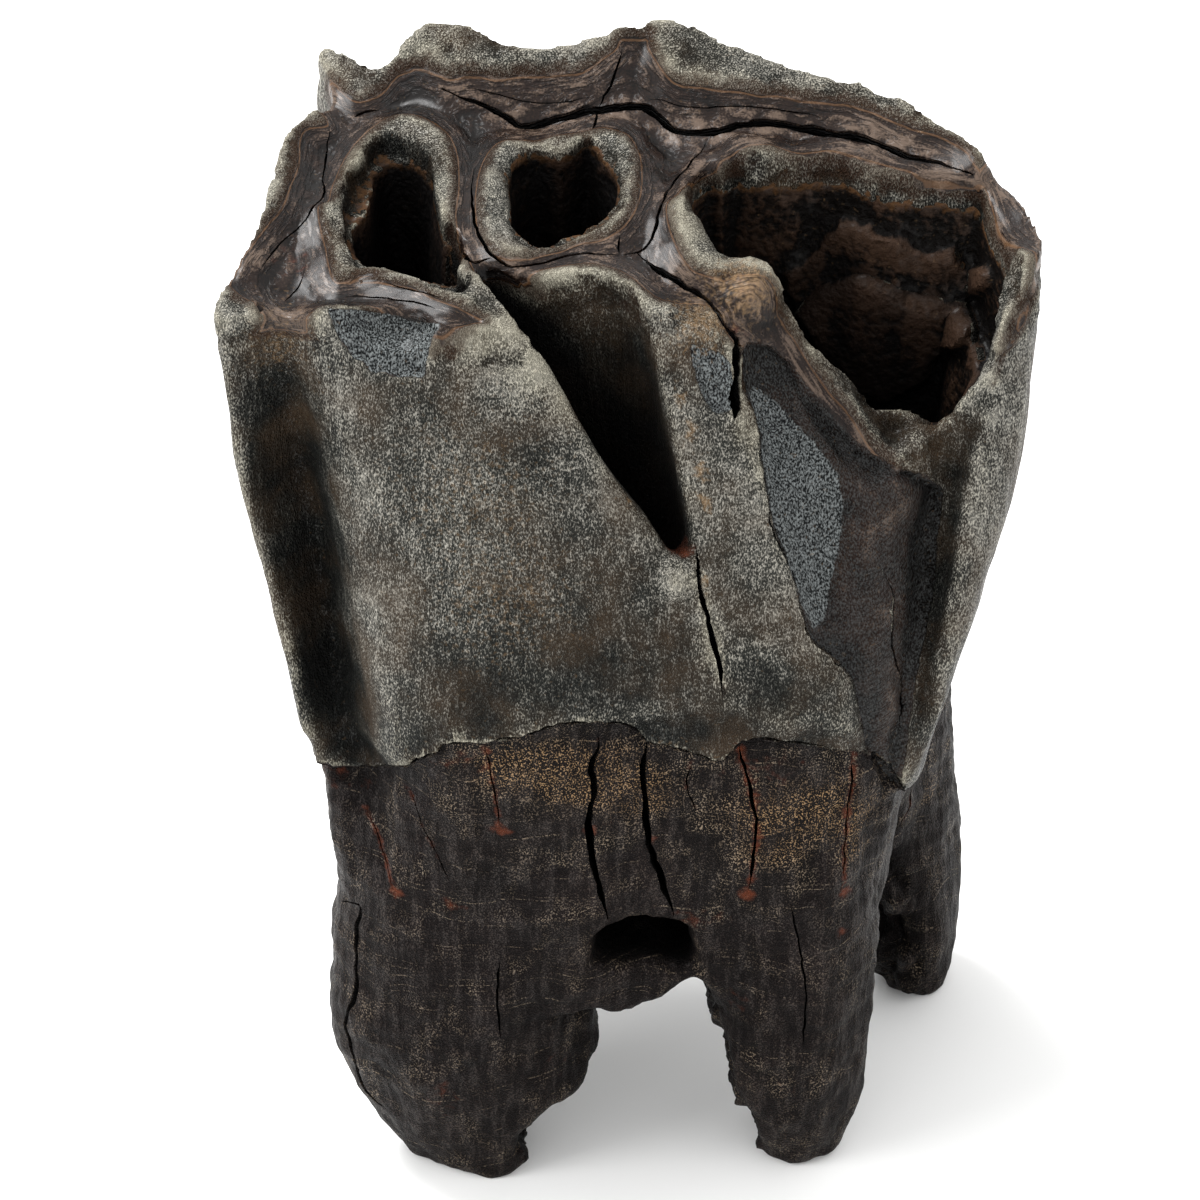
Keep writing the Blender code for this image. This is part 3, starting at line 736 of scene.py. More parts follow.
CRACKS: tuple[Crack, ...] = (
    Crack(
        (
            (440, 88), (460, 97), (480, 105), (500, 113), (515, 124), (522, 128), (540, 124), (560, 119),
            (580, 114), (598, 110), (620, 108), (640, 105), (650, 109), (660, 118), (670, 127), (680, 132),
            (695, 134), (715, 132), (735, 127), (755, 123), (775, 124), (795, 127), (815, 130), (835, 134),
            (855, 138), (875, 143), (890, 150), (905, 156), (925, 160), (945, 165), (965, 171), (975, 174),
        ), 0.62, 4.0,
    ),
    Crack(((598, 110), (597, 122), (592, 130)), 0.22, 1.0),
    Crack(((598, 108), (605, 95), (612, 82), (618, 65), (622, 50)), 0.2, 1.0),
    Crack(
        (
            (706, 142), (706, 147), (695, 158), (685, 170), (675, 180), (665, 195), (660, 210), (657, 222),
            (654, 235), (650, 243), (640, 250), (636, 252), (620, 255),
        ), 0.28, 1.6,
    ),
    Crack(
        (
            (636, 252), (645, 262), (660, 272), (675, 280), (685, 288), (700, 295), (710, 303), (718, 312),
            (722, 322), (730, 332), (737, 340), (738, 350), (737, 365), (736, 390), (737, 412),
        ), 0.42, 3.0, 0.3,
    ),
    Crack(((736, 338), (738, 352), (738, 370), (738, 390), (736, 410), (735, 420)), 0.8, 3.0),
    Crack(((620, 235), (619, 245), (621, 255)), 0.2, 1.0),
    Crack(
        (
            (474, 168), (472, 190), (473, 212), (477, 232), (483, 245), (492, 256), (505, 264), (515, 268),
            (530, 265), (545, 262), (560, 258), (580, 254), (600, 254), (620, 255),
        ), 0.26, 1.0,
    ),
    Crack(((455, 230), (460, 245), (465, 258), (472, 265), (480, 262), (492, 258)), 0.3, 1.2),
    Crack(
        (
            (330, 125), (329, 140), (326, 155), (324, 170), (323, 185), (325, 195), (315, 205), (305, 220),
            (295, 232), (285, 240), (275, 248), (268, 260), (258, 272),
        ), 0.18, 0.8,
    ),
    Crack(((283, 302), (293, 293), (300, 285), (303, 275)), 0.18, 0.8),
    Crack(((345, 298), (360, 296), (375, 297), (390, 299), (410, 302), (425, 305), (437, 309)), 0.16, 0.7),
    Crack(((385, 283), (400, 286), (420, 292), (440, 298)), 0.16, 0.7),
    Crack(((353, 118), (365, 111), (380, 110)), 0.25, 0.8),
    Crack(((640, 105), (655, 98), (672, 104), (700, 108), (740, 106), (780, 110), (830, 117)), 0.14, 0.5),
    Crack(((470, 88), (500, 95), (530, 102), (560, 103), (590, 96)), 0.14, 0.5),
    Crack(
        ((695, 545), (697, 557), (702, 598), (707, 620), (713, 643), (720, 668), (723, 695)), 0.36, 2.4, 0.2,
    ),
    Crack(
        ((882, 571), (890, 585), (894, 598), (892, 646), (898, 668), (902, 688), (899, 729)), 0.22, 1.5, 0.1,
    ),
    Crack(
        (
            (758, 422), (761, 460), (768, 500), (775, 536), (783, 552), (792, 571), (797, 592), (802, 612),
            (806, 628), (813, 643), (826, 652), (840, 664), (848, 674), (854, 684), (858, 705), (862, 728),
            (864, 746),
        ), 0.3, 0.9,
    ),
    Crack(
        ((598, 735), (598, 745), (591, 773), (596, 783), (588, 828), (594, 866), (608, 920)), 0.46, 5.0, 0.35,
    ),
    Crack(
        ((647, 741), (643, 773), (645, 800), (648, 837), (652, 855), (659, 872), (668, 900), (677, 923)),
        0.5, 5.0, 0.35,
    ),
    Crack(((739, 743), (745, 770), (752, 796), (757, 837), (752, 870), (749, 891)), 0.26, 2.5, 0.8),
    Crack(((484, 746), (489, 765), (494, 789), (498, 812), (500, 828)), 0.16, 1.5, 0.7),
    Crack(((364, 808), (372, 822), (379, 837), (388, 868), (393, 891)), 0.16, 1.0, 0.8),
    Crack(((408, 786), (416, 806), (423, 827), (438, 856), (449, 882)), 0.14, 1.0, 0.5),
    Crack(((852, 755), (852, 784), (848, 806), (846, 831), (844, 860), (845, 884)), 0.2, 1.5, 0.8),
    Crack(
        (
            (342, 901), (362, 904), (358, 920), (356, 942), (357, 968), (355, 997), (345, 1019), (350, 1040),
            (355, 1060), (364, 1089), (380, 1104), (395, 1116),
        ), 0.42, 3.2, 0.3,
    ),
    Crack(((692, 762), (686, 780), (690, 798), (696, 812)), 0.14, 0.8, 0.5),
    Crack(((500, 960), (497, 1000), (500, 1040)), 0.2, 1.0, 0.2),
    Crack(((790, 900), (800, 950), (806, 1000), (802, 1050)), 0.18, 1.2, 0.3),
    Crack(
        ((430, 640), (441, 560), (436, 470), (447, 400), (441, 300), (452, 240)), 0.3, 1.6, 0.1, Side.CHEEK,
    ),
    Crack(((600, 660), (609, 600), (596, 520), (604, 440), (590, 350)), 0.2, 1.2, 0.1, Side.CHEEK),
    Crack(((780, 700), (770, 640), (783, 560), (771, 470)), 0.24, 1.4, 0.1, Side.CHEEK),
    Crack(((520, 760), (514, 830), (525, 900), (517, 980)), 0.45, 3.2, 0.6, Side.CHEEK),
    Crack(((690, 760), (700, 820), (693, 880), (702, 960)), 0.36, 2.6, 0.6, Side.CHEEK),
    Crack(((610, 740), (604, 800), (612, 850)), 0.3, 2.2, 0.6, Side.CHEEK),
    Crack(((820, 780), (826, 850), (817, 930)), 0.22, 2.0, 0.6, Side.CHEEK),
    Crack(((540, 700), (548, 640), (539, 560), (546, 480)), 0.22, 1.4, 0.1, Side.REAR),
    Crack(((650, 760), (643, 830), (652, 900), (645, 980)), 0.4, 2.8, 0.6, Side.REAR),
    Crack(((560, 780), (566, 840), (558, 890)), 0.24, 1.8, 0.6, Side.REAR),
    Crack(((560, 700), (567, 620), (556, 520), (563, 420)), 0.22, 1.4, 0.1, Side.FRONT),
    Crack(((600, 760), (607, 830), (598, 900), (606, 990)), 0.45, 3.0, 0.6, Side.FRONT),
    Crack(((680, 770), (674, 830), (682, 880)), 0.24, 1.8, 0.6, Side.FRONT),
)


@dataclass(frozen=True)
class Wedge:
    """How the thin wedge that cuts a crack is made.

    Attributes:
        above: how far it stands out of the skin.
        mouth: its width over the skin, as a share of the crack's.
        tip: its width at the bottom, as a share of the crack's.
        taper: how quickly it grows from its ends to full size.
        least: share of its size at the ends.
        ragged: how much its width varies.
        wander: how far it strays to either side.
    """

    above: float = 0.45
    mouth: float = 1.1
    tip: float = 0.2
    taper: float = 7.0
    least: float = 0.25
    ragged: float = 0.35
    wander: float = 0.12


@dataclass(frozen=True)
class Patch:
    """Area inside a loop of pixels, with how deep its surface has come off."""

    loop: Pixels
    depth: float = 0.0


CHIP = Patch((
    (327, 308), (345, 309), (365, 311), (385, 314), (405, 319), (425, 323), (440, 325), (435, 331),
    (431, 340), (428, 352), (427, 365), (424, 378), (410, 376), (398, 378), (385, 372), (372, 373),
    (362, 361), (353, 359), (347, 347), (337, 336),
), 0.3)
BARED = Patch((
    (758, 421), (761, 460), (768, 500), (775, 536), (783, 552), (792, 571), (797, 592), (802, 612),
    (806, 628), (813, 643), (826, 652), (840, 664), (848, 674), (854, 684), (858, 705), (862, 728),
    (864, 746), (872, 758), (884, 790), (900, 792), (908, 740), (914, 690), (924, 640), (934, 590),
    (938, 530), (944, 490), (925, 474), (895, 468), (870, 452), (846, 432), (826, 408), (806, 384),
    (788, 362), (770, 345), (748, 342), (741, 352), (744, 385), (750, 405),
), 0.85)
BLUE: tuple[Patch, ...] = (
    CHIP,
    Patch((
        (690, 343), (705, 348), (720, 352), (731, 362), (733, 385), (735, 405), (722, 416), (712, 412),
        (702, 396), (694, 372),
    ), 0.35),
    Patch((
        (748, 385), (762, 390), (778, 405), (800, 428), (820, 450), (838, 480), (842, 510), (838, 550),
        (828, 590), (824, 622), (812, 630), (800, 600), (788, 562), (776, 530), (766, 480), (760, 430),
    )),
)
FLAKE = Patch((
    (780, 270), (800, 255), (820, 238), (835, 220), (843, 213), (855, 218), (870, 223), (885, 230),
    (900, 235), (910, 243), (925, 247), (940, 246), (955, 245), (962, 255), (970, 262), (982, 265),
    (990, 263), (996, 272), (993, 285), (985, 295), (978, 300), (978, 312), (980, 325), (975, 340),
    (965, 350), (950, 355), (938, 358), (932, 375), (925, 385), (910, 390), (900, 395), (890, 402),
    (880, 402), (868, 398), (860, 395), (835, 370), (812, 345), (795, 318), (785, 295),
), -0.8)
KNOB = (752, 292)
LOBE = (676, 578)


@dataclass(frozen=True)
class Spot:
    """Round stain at a pixel, with its radius, how much wider than high it is, and its strength."""

    pixel: tuple[float, float]
    radius: float
    stretch: float = 1.0
    strength: float = 1.0
    side: Side = Side.TONGUE


RUST: tuple[Spot, ...] = (
    Spot((395, 893), 0.45, 3.6), Spot((503, 832), 0.6, 1.6), Spot((747, 894), 0.7, 1.4),
    Spot((845, 892), 0.7, 1.3), Spot((842, 931), 0.6, 1.0, 0.8), Spot((590, 832), 0.6, 1.0, 0.9),
    Spot((652, 838), 0.6, 1.0, 0.8), Spot((449, 905), 1.0, 1.6, 0.5), Spot((700, 918), 1.6, 2.0, 0.5),
    Spot((330, 772), 3.0, 1.2, 0.4), Spot((455, 760), 1.6, 1.6, 0.5), Spot((752, 290), 1.6, 1.0, 0.4),
    Spot((738, 330), 1.4, 1.0, 0.4), Spot((680, 550), 1.2, 1.6, 0.9), Spot((765, 770), 2.5, 2.0, 0.4),
    Spot((560, 835), 2.0, 3.0, 0.25), Spot((440, 1100), 3.0, 1.0, 0.35), Spot((560, 1060), 3.0, 1.0, 0.3),
    Spot((300, 262), 3.0, 1.0, 0.4), Spot((735, 1000), 2.4, 1.0, 0.35), Spot((790, 1090), 2.0, 1.0, 0.3),
    Spot((220, 330), 3.0, 1.0, 0.25), Spot((560, 820), 1.0, 2.6, 0.9, Side.CHEEK),
    Spot((700, 880), 1.2, 1.4, 0.9, Side.CHEEK), Spot((460, 900), 3.0, 1.0, 0.5, Side.CHEEK),
    Spot((640, 850), 1.0, 2.0, 0.8, Side.REAR), Spot((590, 930), 2.5, 1.0, 0.4, Side.REAR),
    Spot((600, 850), 1.0, 2.0, 0.8, Side.FRONT), Spot((660, 960), 2.5, 1.0, 0.4, Side.FRONT),
)
OCHRE: tuple[Spot, ...] = (
    Spot((745, 285), 2.6, 1.0, 0.6), Spot((702, 322), 2.2, 1.0, 0.6), Spot((545, 772), 2.6, 2.2, 0.9),
    Spot((580, 790), 2.0, 2.0, 0.8), Spot((622, 786), 2.2, 1.6, 0.9), Spot((640, 800), 2.0, 1.6, 0.7),
    Spot((600, 757), 1.6, 3.0, 0.6), Spot((800, 812), 3.2, 1.8, 0.8), Spot((850, 820), 2.4, 1.6, 0.8),
    Spot((780, 850), 2.4, 1.6, 0.6), Spot((855, 850), 1.8, 1.4, 0.7), Spot((700, 470), 0.8, 0.5, 0.9),
    Spot((690, 430), 0.7, 0.5, 0.8), Spot((706, 500), 0.7, 0.5, 0.9), Spot((680, 398), 0.7, 0.6, 0.7),
    Spot((705, 582), 0.6, 0.5, 0.9), Spot((628, 500), 0.6, 0.7, 0.6), Spot((500, 600), 5.0, 1.0, 0.28),
    Spot((470, 500), 6.0, 1.0, 0.25), Spot((280, 340), 3.0, 1.0, 0.3), Spot((930, 790), 1.8, 0.6, 0.5),
    Spot((620, 780), 3.0, 2.4, 0.8, Side.CHEEK), Spot((760, 800), 2.5, 2.0, 0.6, Side.CHEEK),
    Spot((420, 790), 2.5, 2.0, 0.6, Side.CHEEK), Spot((560, 790), 2.6, 2.0, 0.7, Side.REAR),
    Spot((640, 800), 2.6, 2.0, 0.7, Side.FRONT),
)
# Spots where the enamel turns cream: partly enamel polished by wear, partly a painted highlight.
POLISH_AND_HIGHLIGHT: tuple[Spot, ...] = (
    Spot((500, 342), 2.4, 1.1, 0.8), Spot((530, 372), 2.6, 0.9, 0.8), Spot((560, 400), 1.6, 0.7, 0.6),
    Spot((468, 335), 1.4, 1.4, 0.6), Spot((350, 155), 1.4, 1.0, 0.8), Spot((672, 205), 1.5, 1.2, 0.9),
    Spot((690, 230), 1.6, 1.0, 0.8), Spot((715, 260), 1.6, 1.2, 0.6), Spot((755, 262), 1.4, 1.0, 0.7),
    Spot((790, 300), 1.1, 1.0, 0.7), Spot((815, 350), 1.0, 1.0, 0.6), Spot((745, 435), 1.2, 0.9, 0.9),
    Spot((760, 470), 1.0, 0.7, 0.7), Spot((560, 272), 1.8, 2.0, 0.6), Spot((505, 288), 1.2, 1.2, 0.5),
    Spot((665, 62), 1.4, 1.0, 0.8), Spot((700, 72), 1.8, 1.4, 0.5), Spot((1030, 262), 1.1, 0.8, 0.7),
    Spot((430, 48), 1.6, 1.6, 0.4), Spot((430, 345), 0.8, 0.7, 0.8), Spot((445, 330), 1.0, 1.0, 0.7),
    Spot((503, 830), 0.45, 1.0, 0.9), Spot((755, 895), 0.5, 1.0, 0.9), Spot((895, 598), 0.35, 1.0, 0.9),
    Spot((888, 770), 1.8, 0.8, 0.35),
)


@dataclass(frozen=True)
class Ripple:
    """Unevenness of the skin.

    Attributes:
        height: how far it moves the skin.
        size: length over which it changes.
        seed: picks one noise among many.
        rounds: how many finer ones are added.
        squeeze: factor for x, y and z. A small last one draws it out along the tooth.
    """

    height: float
    size: float
    seed: int
    rounds: int = 1
    squeeze: tuple[float, float, float] = (1.0, 1.0, 1.0)

    def at(self, places: np.ndarray) -> np.ndarray:
        """How far it moves the skin at places."""
        return self.height * noise(places * self.squeeze, self.size, self.seed, self.rounds)


@dataclass(frozen=True)
class Knob:
    """Round bump at a pixel, or a dent where it rises by less than nothing."""

    pixel: tuple[float, float]
    radius: float
    rise: float


@dataclass(frozen=True)
class Wear:
    """What growth, chewing and the gravel have done to the skin.

    Attributes:
        neck: how far the root lies under the edge of the enamel, and the length over which that fades.
        lip: how far the edge of the enamel swells, and the length over which that fades.
        rim_loss: how deep the rims are chipped.
        ring: spacing, height and bend of the growth rings of the root.
        torn_height, torn_least, torn_sunk: strength of the jagged pattern on torn faces, its share
            elsewhere on the roots, and how far it lies below the old skin.
        bared_fade: length over which the edge of a bared area flattens inside it.
        lump: strength of the lumps on the corner behind the rear pit.
    """

    neck: tuple[float, float] = (0.5, 6.0)
    lip: tuple[float, float] = (0.12, 1.2)
    rim_loss: float = 0.22
    ring: tuple[float, float, float] = (1.9, 0.05, 2.2)
    torn_height: float = 1.15
    torn_least: float = 0.08
    torn_sunk: float = 0.2
    bared_fade: float = 2.8
    lump: float = 0.3
    neckline: Ripple = Ripple(0.25, 0.9, 9, 2)
    chips: Ripple = Ripple(1.0, 1.5, 61, 3)
    swells: Ripple = Ripple(0.11, 3.4, 11, 2)
    streaks: Ripple = Ripple(0.05, 1.0, 13, 2, (1.0, 1.0, 0.3))
    flutes: Ripple = Ripple(0.2, 2.4, 17, 3, (1.0, 1.0, 0.22))
    dents: Ripple = Ripple(0.12, 3.0, 19, 2)
    sway: Ripple = Ripple(1.0, 6.0, 23)
    jags: tuple[Ripple, Ripple] = (Ripple(1.0, 3.0, 29, 4, (1.0, 1.0, 0.8)), Ripple(0.45, 1.2, 33, 2))
    fibres: Ripple = Ripple(0.07, 1.1, 31, 2, (1.0, 1.0, 0.6))
    bared_edge: Ripple = Ripple(0.1, 0.7, 41)
    bared_skin: Ripple = Ripple(0.3, 2.4, 37, 3, (1.0, 1.0, 0.5))
    flake_edge: Ripple = Ripple(0.15, 0.8, 47)
    crumbs: Ripple = Ripple(0.32, 1.5, 53, 3)
    lumps: Ripple = Ripple(1.0, 1.3, 43, 2)
    knobs: tuple[Knob, ...] = (
        Knob(KNOB, 2.0, 0.9), Knob(LOBE, 1.7, 0.9), Knob((256, 311), 0.9, 0.5), Knob((258, 311), 0.35, -0.8),
    )


@dataclass
class Cervix:
    """The ragged line round the tooth where the enamel ends.

    Attributes:
        hidden: degrees about the tooth's middle and levels of the line on the sides away from the photograph.
    """

    hidden: tuple[tuple[float, float], ...] = (
        (-12.0, 34.2), (0.0, 34.2), (20.0, 35.0), (42.0, 36.5), (60.0, 35.2), (80.0, 33.6), (105.0, 34.2),
        (122.0, 36.0), (140.0, 38.2), (160.0, 38.0), (180.0, 37.4), (192.0, 37.8),
    )
    angles: np.ndarray = field(init=False)
    levels: np.ndarray = field(init=False)

    def lay(self, tree: BVHTree) -> None:
        """Carry the line from the photograph onto the tooth.

        Args:
            tree: faces of the tooth.
        """
        line, _ = Side.TONGUE.value.onto_tree(evenly(np.array(CERVIX, float), 5.0), tree)
        seen = np.degrees(np.arctan2(line[:, 1], line[:, 0]))
        held = [(angle % 360.0, level) for angle, level in self.hidden]
        held += [(angle % 360.0, level) for angle, level in zip(seen, line[:, 2])]
        held = np.array(sorted(held))
        self.angles, self.levels = held[:, 0], held[:, 1]

    def above(self, places: np.ndarray) -> np.ndarray:
        """Height of places above the line."""
        angles = np.degrees(np.arctan2(places[:, 1], places[:, 0])) % 360.0
        line = np.interp(angles, self.angles, self.levels, period=360.0)
        hidden = smoothstep(places[:, 1], -8.0, -2.0)
        ragged = hidden * (0.8 * noise(places * (1, 1, 0), 2.4, 31, 3))
        return places[:, 2] - line + ragged


@dataclass
class Tooth:
    """The tooth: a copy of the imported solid, worn, carved and weathered."""

    surface: ChewingSurface = field(default_factory=ChewingSurface)
    cervix: Cervix = field(default_factory=Cervix)
    wear: Wear = Wear()
    wedge: Wedge = Wedge()
    rough_voxel: float = 0.5
    fine_voxel: float = 0.3
    stretch: float = 1.8
    stretch_from: float = 52.0
    stretch_to: float = 70.0
    triangles: int = 172000
    filler_width: float = 3.0
    filler_low: float = 66.0
    plug_top: float = 84.0
    plug_low: float = 59.0
    plug_size: float = 1.12
    mouth_top: float = 86.0
    mouth_size: float = 0.97
    shaft_size: float = 0.72
    line_step: float = 6.0
    line_gap: float = 2.2
    pixel: float = 1.0 / 14.0
    stain_reach: float = 0.42
    sights: int = 9
    sight_length: float = 14.0

    def copy_of_solid(self) -> bpy.types.Object:
        """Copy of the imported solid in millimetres, with its doubles merged."""
        form = bmesh.new()
        form.from_mesh(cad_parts[CAD_NODE].data)
        bmesh.ops.remove_doubles(form, verts=form.verts, dist=1e-6)
        bmesh.ops.scale(form, vec=(1 / MM, 1 / MM, 1 / MM), verts=form.verts)
        return finished(form, "fossil_tooth")

    def build(self) -> bpy.types.Object:
        """Carve the tooth.

        Returns:
            The finished object, in millimetres.
        """
        tooth = self.copy_of_solid()
        smooth = tooth.modifiers.new("rounder", "SUBSURF")
        smooth.levels = smooth.render_levels = 1
        applied(tooth)
        places = coordinates(tooth)
        places[:, 2] += self.stretch * smoothstep(places[:, 2], self.stretch_from, self.stretch_to)
        set_coordinates(tooth, places)
        remeshed(tooth, self.rough_voxel)
        log.info("rough skin: %d faces", len(tooth.data.polygons))
        for pit, hole in zip(self.surface.pits, self.surface.holes):
            combine(tooth, self.plug(pit, hole), "UNION")
        combine(tooth, self.crack_filler(), "UNION")
        combine(tooth, self.surface.cutter(), "DIFFERENCE")
        for pit, hole, lining in zip(self.surface.pits, self.surface.holes, self.surface.linings):
            combine(tooth, self.mouth(pit, hole), "DIFFERENCE")
            combine(tooth, self.shaft(pit, lining), "DIFFERENCE")
        log.info("worn and cut: %d faces", len(tooth.data.polygons))
        remeshed(tooth, self.fine_voxel)
        ease = tooth.modifiers.new("eased edges", "SMOOTH")
        ease.iterations = 1
        applied(tooth)
        log.info("fine skin: %d faces", len(tooth.data.polygons))
        self.weather(tooth)
        fewer = tooth.modifiers.new("fewer triangles", "DECIMATE")
        fewer.ratio = min(1.0, self.triangles / (2 * len(tooth.data.polygons)))
        applied(tooth)
        log.info("fewer faces: %d", len(tooth.data.polygons))
        before = tree_of(tooth)
        lines = self.crack(tooth, before)
        log.info("cracked skin: %d faces", len(tooth.data.polygons))
        self.keep_above_ground(tooth)
        self.mark(tooth, before, lines)
        return tooth

    def plug(self, pit: Pit, hole: np.ndarray) -> bpy.types.Object:
        """Plug that fills a pit before it is cut anew."""
        middle = hole.mean(axis=0)
        wide = middle + (hole - middle) * self.plug_size
        low = max(pit.floor + 6.0, self.plug_low)
        return prism(pit.name + " plug", [self.at_level(wide, level) for level in (self.plug_top, low)])

    def mouth(self, pit: Pit, hole: np.ndarray) -> bpy.types.Object:
        """Cutter for a pit down to its ledge.

        Args:
            pit: the pit.
            hole: edge of its hole.

        Returns:
            The cutter.
        """
        middle = hole.mean(axis=0)
        narrow = middle + (hole - middle) * self.mouth_size
        ledge = self.surface.ledge(pit, narrow[:, 0], narrow[:, 1])
        return prism(pit.name + " mouth", [
            self.at_level(hole, self.mouth_top),
            self.at_level(hole, np.minimum(ledge + 1.5, self.plug_top)),
            self.at_level(narrow, ledge),
        ])

    def shaft(self, pit: Pit, lining: np.ndarray) -> bpy.types.Object:
        """Cutter for a pit inside its lining, from the ledge to its floor.

        Args:
            pit: the pit.
            lining: edge of its lining.

        Returns:
            The cutter.
        """
        middle = lining.mean(axis=0)
        narrow = middle + (lining - middle) * self.shaft_size
        ledge = self.surface.ledge(pit, lining[:, 0], lining[:, 1])
        return prism(pit.name + " shaft", [
            self.at_level(lining, ledge + 2.5),
            self.at_level(lining, ledge - 0.4),
            self.at_level(narrow, pit.floor),
        ])

    @staticmethod
    def at_level(ring: np.ndarray, level: float | np.ndarray) -> np.ndarray:
        """The ring moved to one level, or to a level for each of its points."""
        return np.column_stack([ring[:, :2], np.broadcast_to(level, len(ring))])

    def crack_filler(self) -> bpy.types.Object:
        """Wall that fills the coarse crack of the solid before a crisp one is cut.

        Returns:
            The wall.
        """
        line = rounded_line(np.array(self.surface.crack), False)
        run = np.gradient(line, axis=0)
        side = np.column_stack([-run[:, 1], run[:, 0]]) / np.linalg.norm(run, axis=1, keepdims=True)
        half = 0.5 * self.filler_width
        ring = np.concatenate([line + half * side, (line - half * side)[::-1]])
        levels = (self.plug_top, self.filler_low)
        return prism("crack filler", [self.at_level(ring, level) for level in levels])

    def patch_depth(
        self, loop: Pixels, places: np.ndarray, outward: np.ndarray, within: np.ndarray | None = None,
    ) -> np.ndarray:
        """Distance of places to the edge of a patch that the photograph shows, positive inside it.

        Args:
            loop: pixels along the patch's edge.
            places: the places.
            outward: normals there.
            within: which places the patch can reach. Without it, all on the tongue side.

        Returns:
            The distances in millimetres. Places that face away are far outside.
        """
        camera = Side.TONGUE.value
        spots = camera.pixels_of(places)
        faces = (outward @ camera.axes[2] < 0.1) & (places[:, 1] < -4.0 if within is None else within)
        depth = np.full(len(places), -9.0)
        depth[faces] = depth_in(np.array(loop, float), spots[faces, 0], spots[faces, 1]) * self.pixel
        return depth

    def weather(self, tooth: bpy.types.Object) -> None:
        """Move the skin for what is finer than the solid: the enamel's edge, bared areas, ridges and wear.

        Args:
            tooth: the tooth.
        """
        tree = tree_of(tooth)
        self.cervix.lay(tree)
        places, outward = coordinates(tooth), normals(tooth)
        x, y, z = places.T
        wear, camera = self.wear, Side.TONGUE.value
        above = self.cervix.above(places) + wear.neckline.at(places)
        root = smoothstep(-above, 0.0, 0.3)
        deep = self.surface.film(x, y) - z
        wall = smoothstep(deep, 0.8, 3.0)
        enamel = wall * (1.0 - root)
        rim = (1.0 - wall) * smoothstep(self.surface.junction(x, y), 0.0, 0.4)
        move = -wear.neck[0] * root * np.exp(np.minimum(above, 0.0) / wear.neck[1])
        move += wear.lip[0] * (1.0 - root) * np.exp(-np.maximum(above, 0.0) / wear.lip[1]) * wall
        move -= wear.rim_loss * rim * smoothstep(wear.chips.at(places), 0.0, 0.5)
        move += enamel * (wear.swells.at(places) + wear.streaks.at(places))
        move += root * (wear.flutes.at(places) + wear.dents.at(places))
        spacing, height, bend = wear.ring
        rings = np.sin(z * 2.0 * math.pi / spacing + bend * wear.sway.at(places))
        move += root * height * rings * smoothstep(z, 8.0, 16.0)
        jagged = wear.torn_height * sum(jag.at(places) for jag in wear.jags) - wear.torn_sunk
        torn = (wear.torn_least + self.broken(places, outward)) * jagged
        move += torn * smoothstep(z, 0.1, 1.5) * smoothstep(-z, -21.0, -13.0)
        move += root * wear.fibres.at(places)
        for patch in (BARED, *BLUE[:2]):
            within = self.patch_depth(patch.loop, places, outward)
            fade = np.exp(-np.maximum(within, 0.0) / wear.bared_fade) if patch is BARED else 1.0
            bare = smoothstep(within + wear.bared_edge.at(places), 0.0, 0.35)
            move -= patch.depth * bare * fade
            move += bare * wear.bared_skin.at(places)
        in_pit = (depth_in(self.surface.holes[2], x, y) > -0.1) & (deep > 3.0)
        flake = self.patch_depth(FLAKE.loop, places, outward, in_pit)
        move -= FLAKE.depth * smoothstep(flake + wear.flake_edge.at(places), 0.0, 0.35)
        middle = camera.onto_tree((KNOB,), tree)[0][0]
        move += smoothstep(-np.linalg.norm(places - middle, axis=1), -5.5, -2.0) * wear.crumbs.at(places)
        for knob in wear.knobs:
            middle = camera.onto_tree((knob.pixel,), tree)[0][0]
            away = np.linalg.norm(places - middle, axis=1)
            move += knob.rise * smoothstep(-away, -1.4 * knob.radius, -0.2 * knob.radius)
        places += move[:, None] * outward
        lumps = wear.lumps.at(places) * smoothstep(x, 17.0, 19.0) * smoothstep(-y, 2.0, 6.0)
        lumps *= wear.lump * smoothstep(-deep, -6.0, -0.5) * smoothstep(z, 56.0, 60.0)
        places += lumps[:, None] * outward
        places[:, 2] = np.maximum(places[:, 2], 0.0)
        set_coordinates(tooth, places)

    @staticmethod
    def broken(places: np.ndarray, outward: np.ndarray) -> np.ndarray:
        """Share from 0 to 1 that tells the torn inner sides of the roots from their smooth outer sides."""
        x, y, z = places.T
        inwards = smoothstep(-(outward[:, 0] * (x + 1.0) + outward[:, 1] * (y + 1.0)), -3.0, 5.0)
        under = smoothstep(-outward[:, 2], 0.0, 0.6) * smoothstep(z, 9.0, 12.0)
        return smoothstep(-z, -21.0, -13.0) * np.maximum(inwards, under)

    def crack(self, tooth: bpy.types.Object, tree: BVHTree) -> list[tuple[Crack, np.ndarray]]:
        """Cut the cracks.

        Args:
            tooth: the tooth.
            tree: its faces.

        Returns:
            Each crack with the points of its line on the tooth.
        """
        blades, lines = [], []
        for number, cut in enumerate((*CRACKS, Crack(CERVIX, 0.28, 0.7))):
            pixels = evenly(rounded_line(cut.line, False), self.line_step)
            line, outward = cut.side.value.onto_tree(pixels, tree)
            if len(line) < 3:
                continue
            jumps = np.flatnonzero(np.linalg.norm(np.diff(line, axis=0), axis=1) > self.line_gap)
            ends = [0, *(jumps + 1), len(line)]
            for start, stop in zip(ends, ends[1:]):
                if stop - start >= 3:
                    blades.append(self.blade(cut, line[start:stop], outward[start:stop], number))
                    lines.append((cut, line[start:stop]))
        cutter = blades[0]
        for blade in blades[1:]:
            combine(cutter, blade, "UNION")
        combine(tooth, cutter, "DIFFERENCE")
        return lines

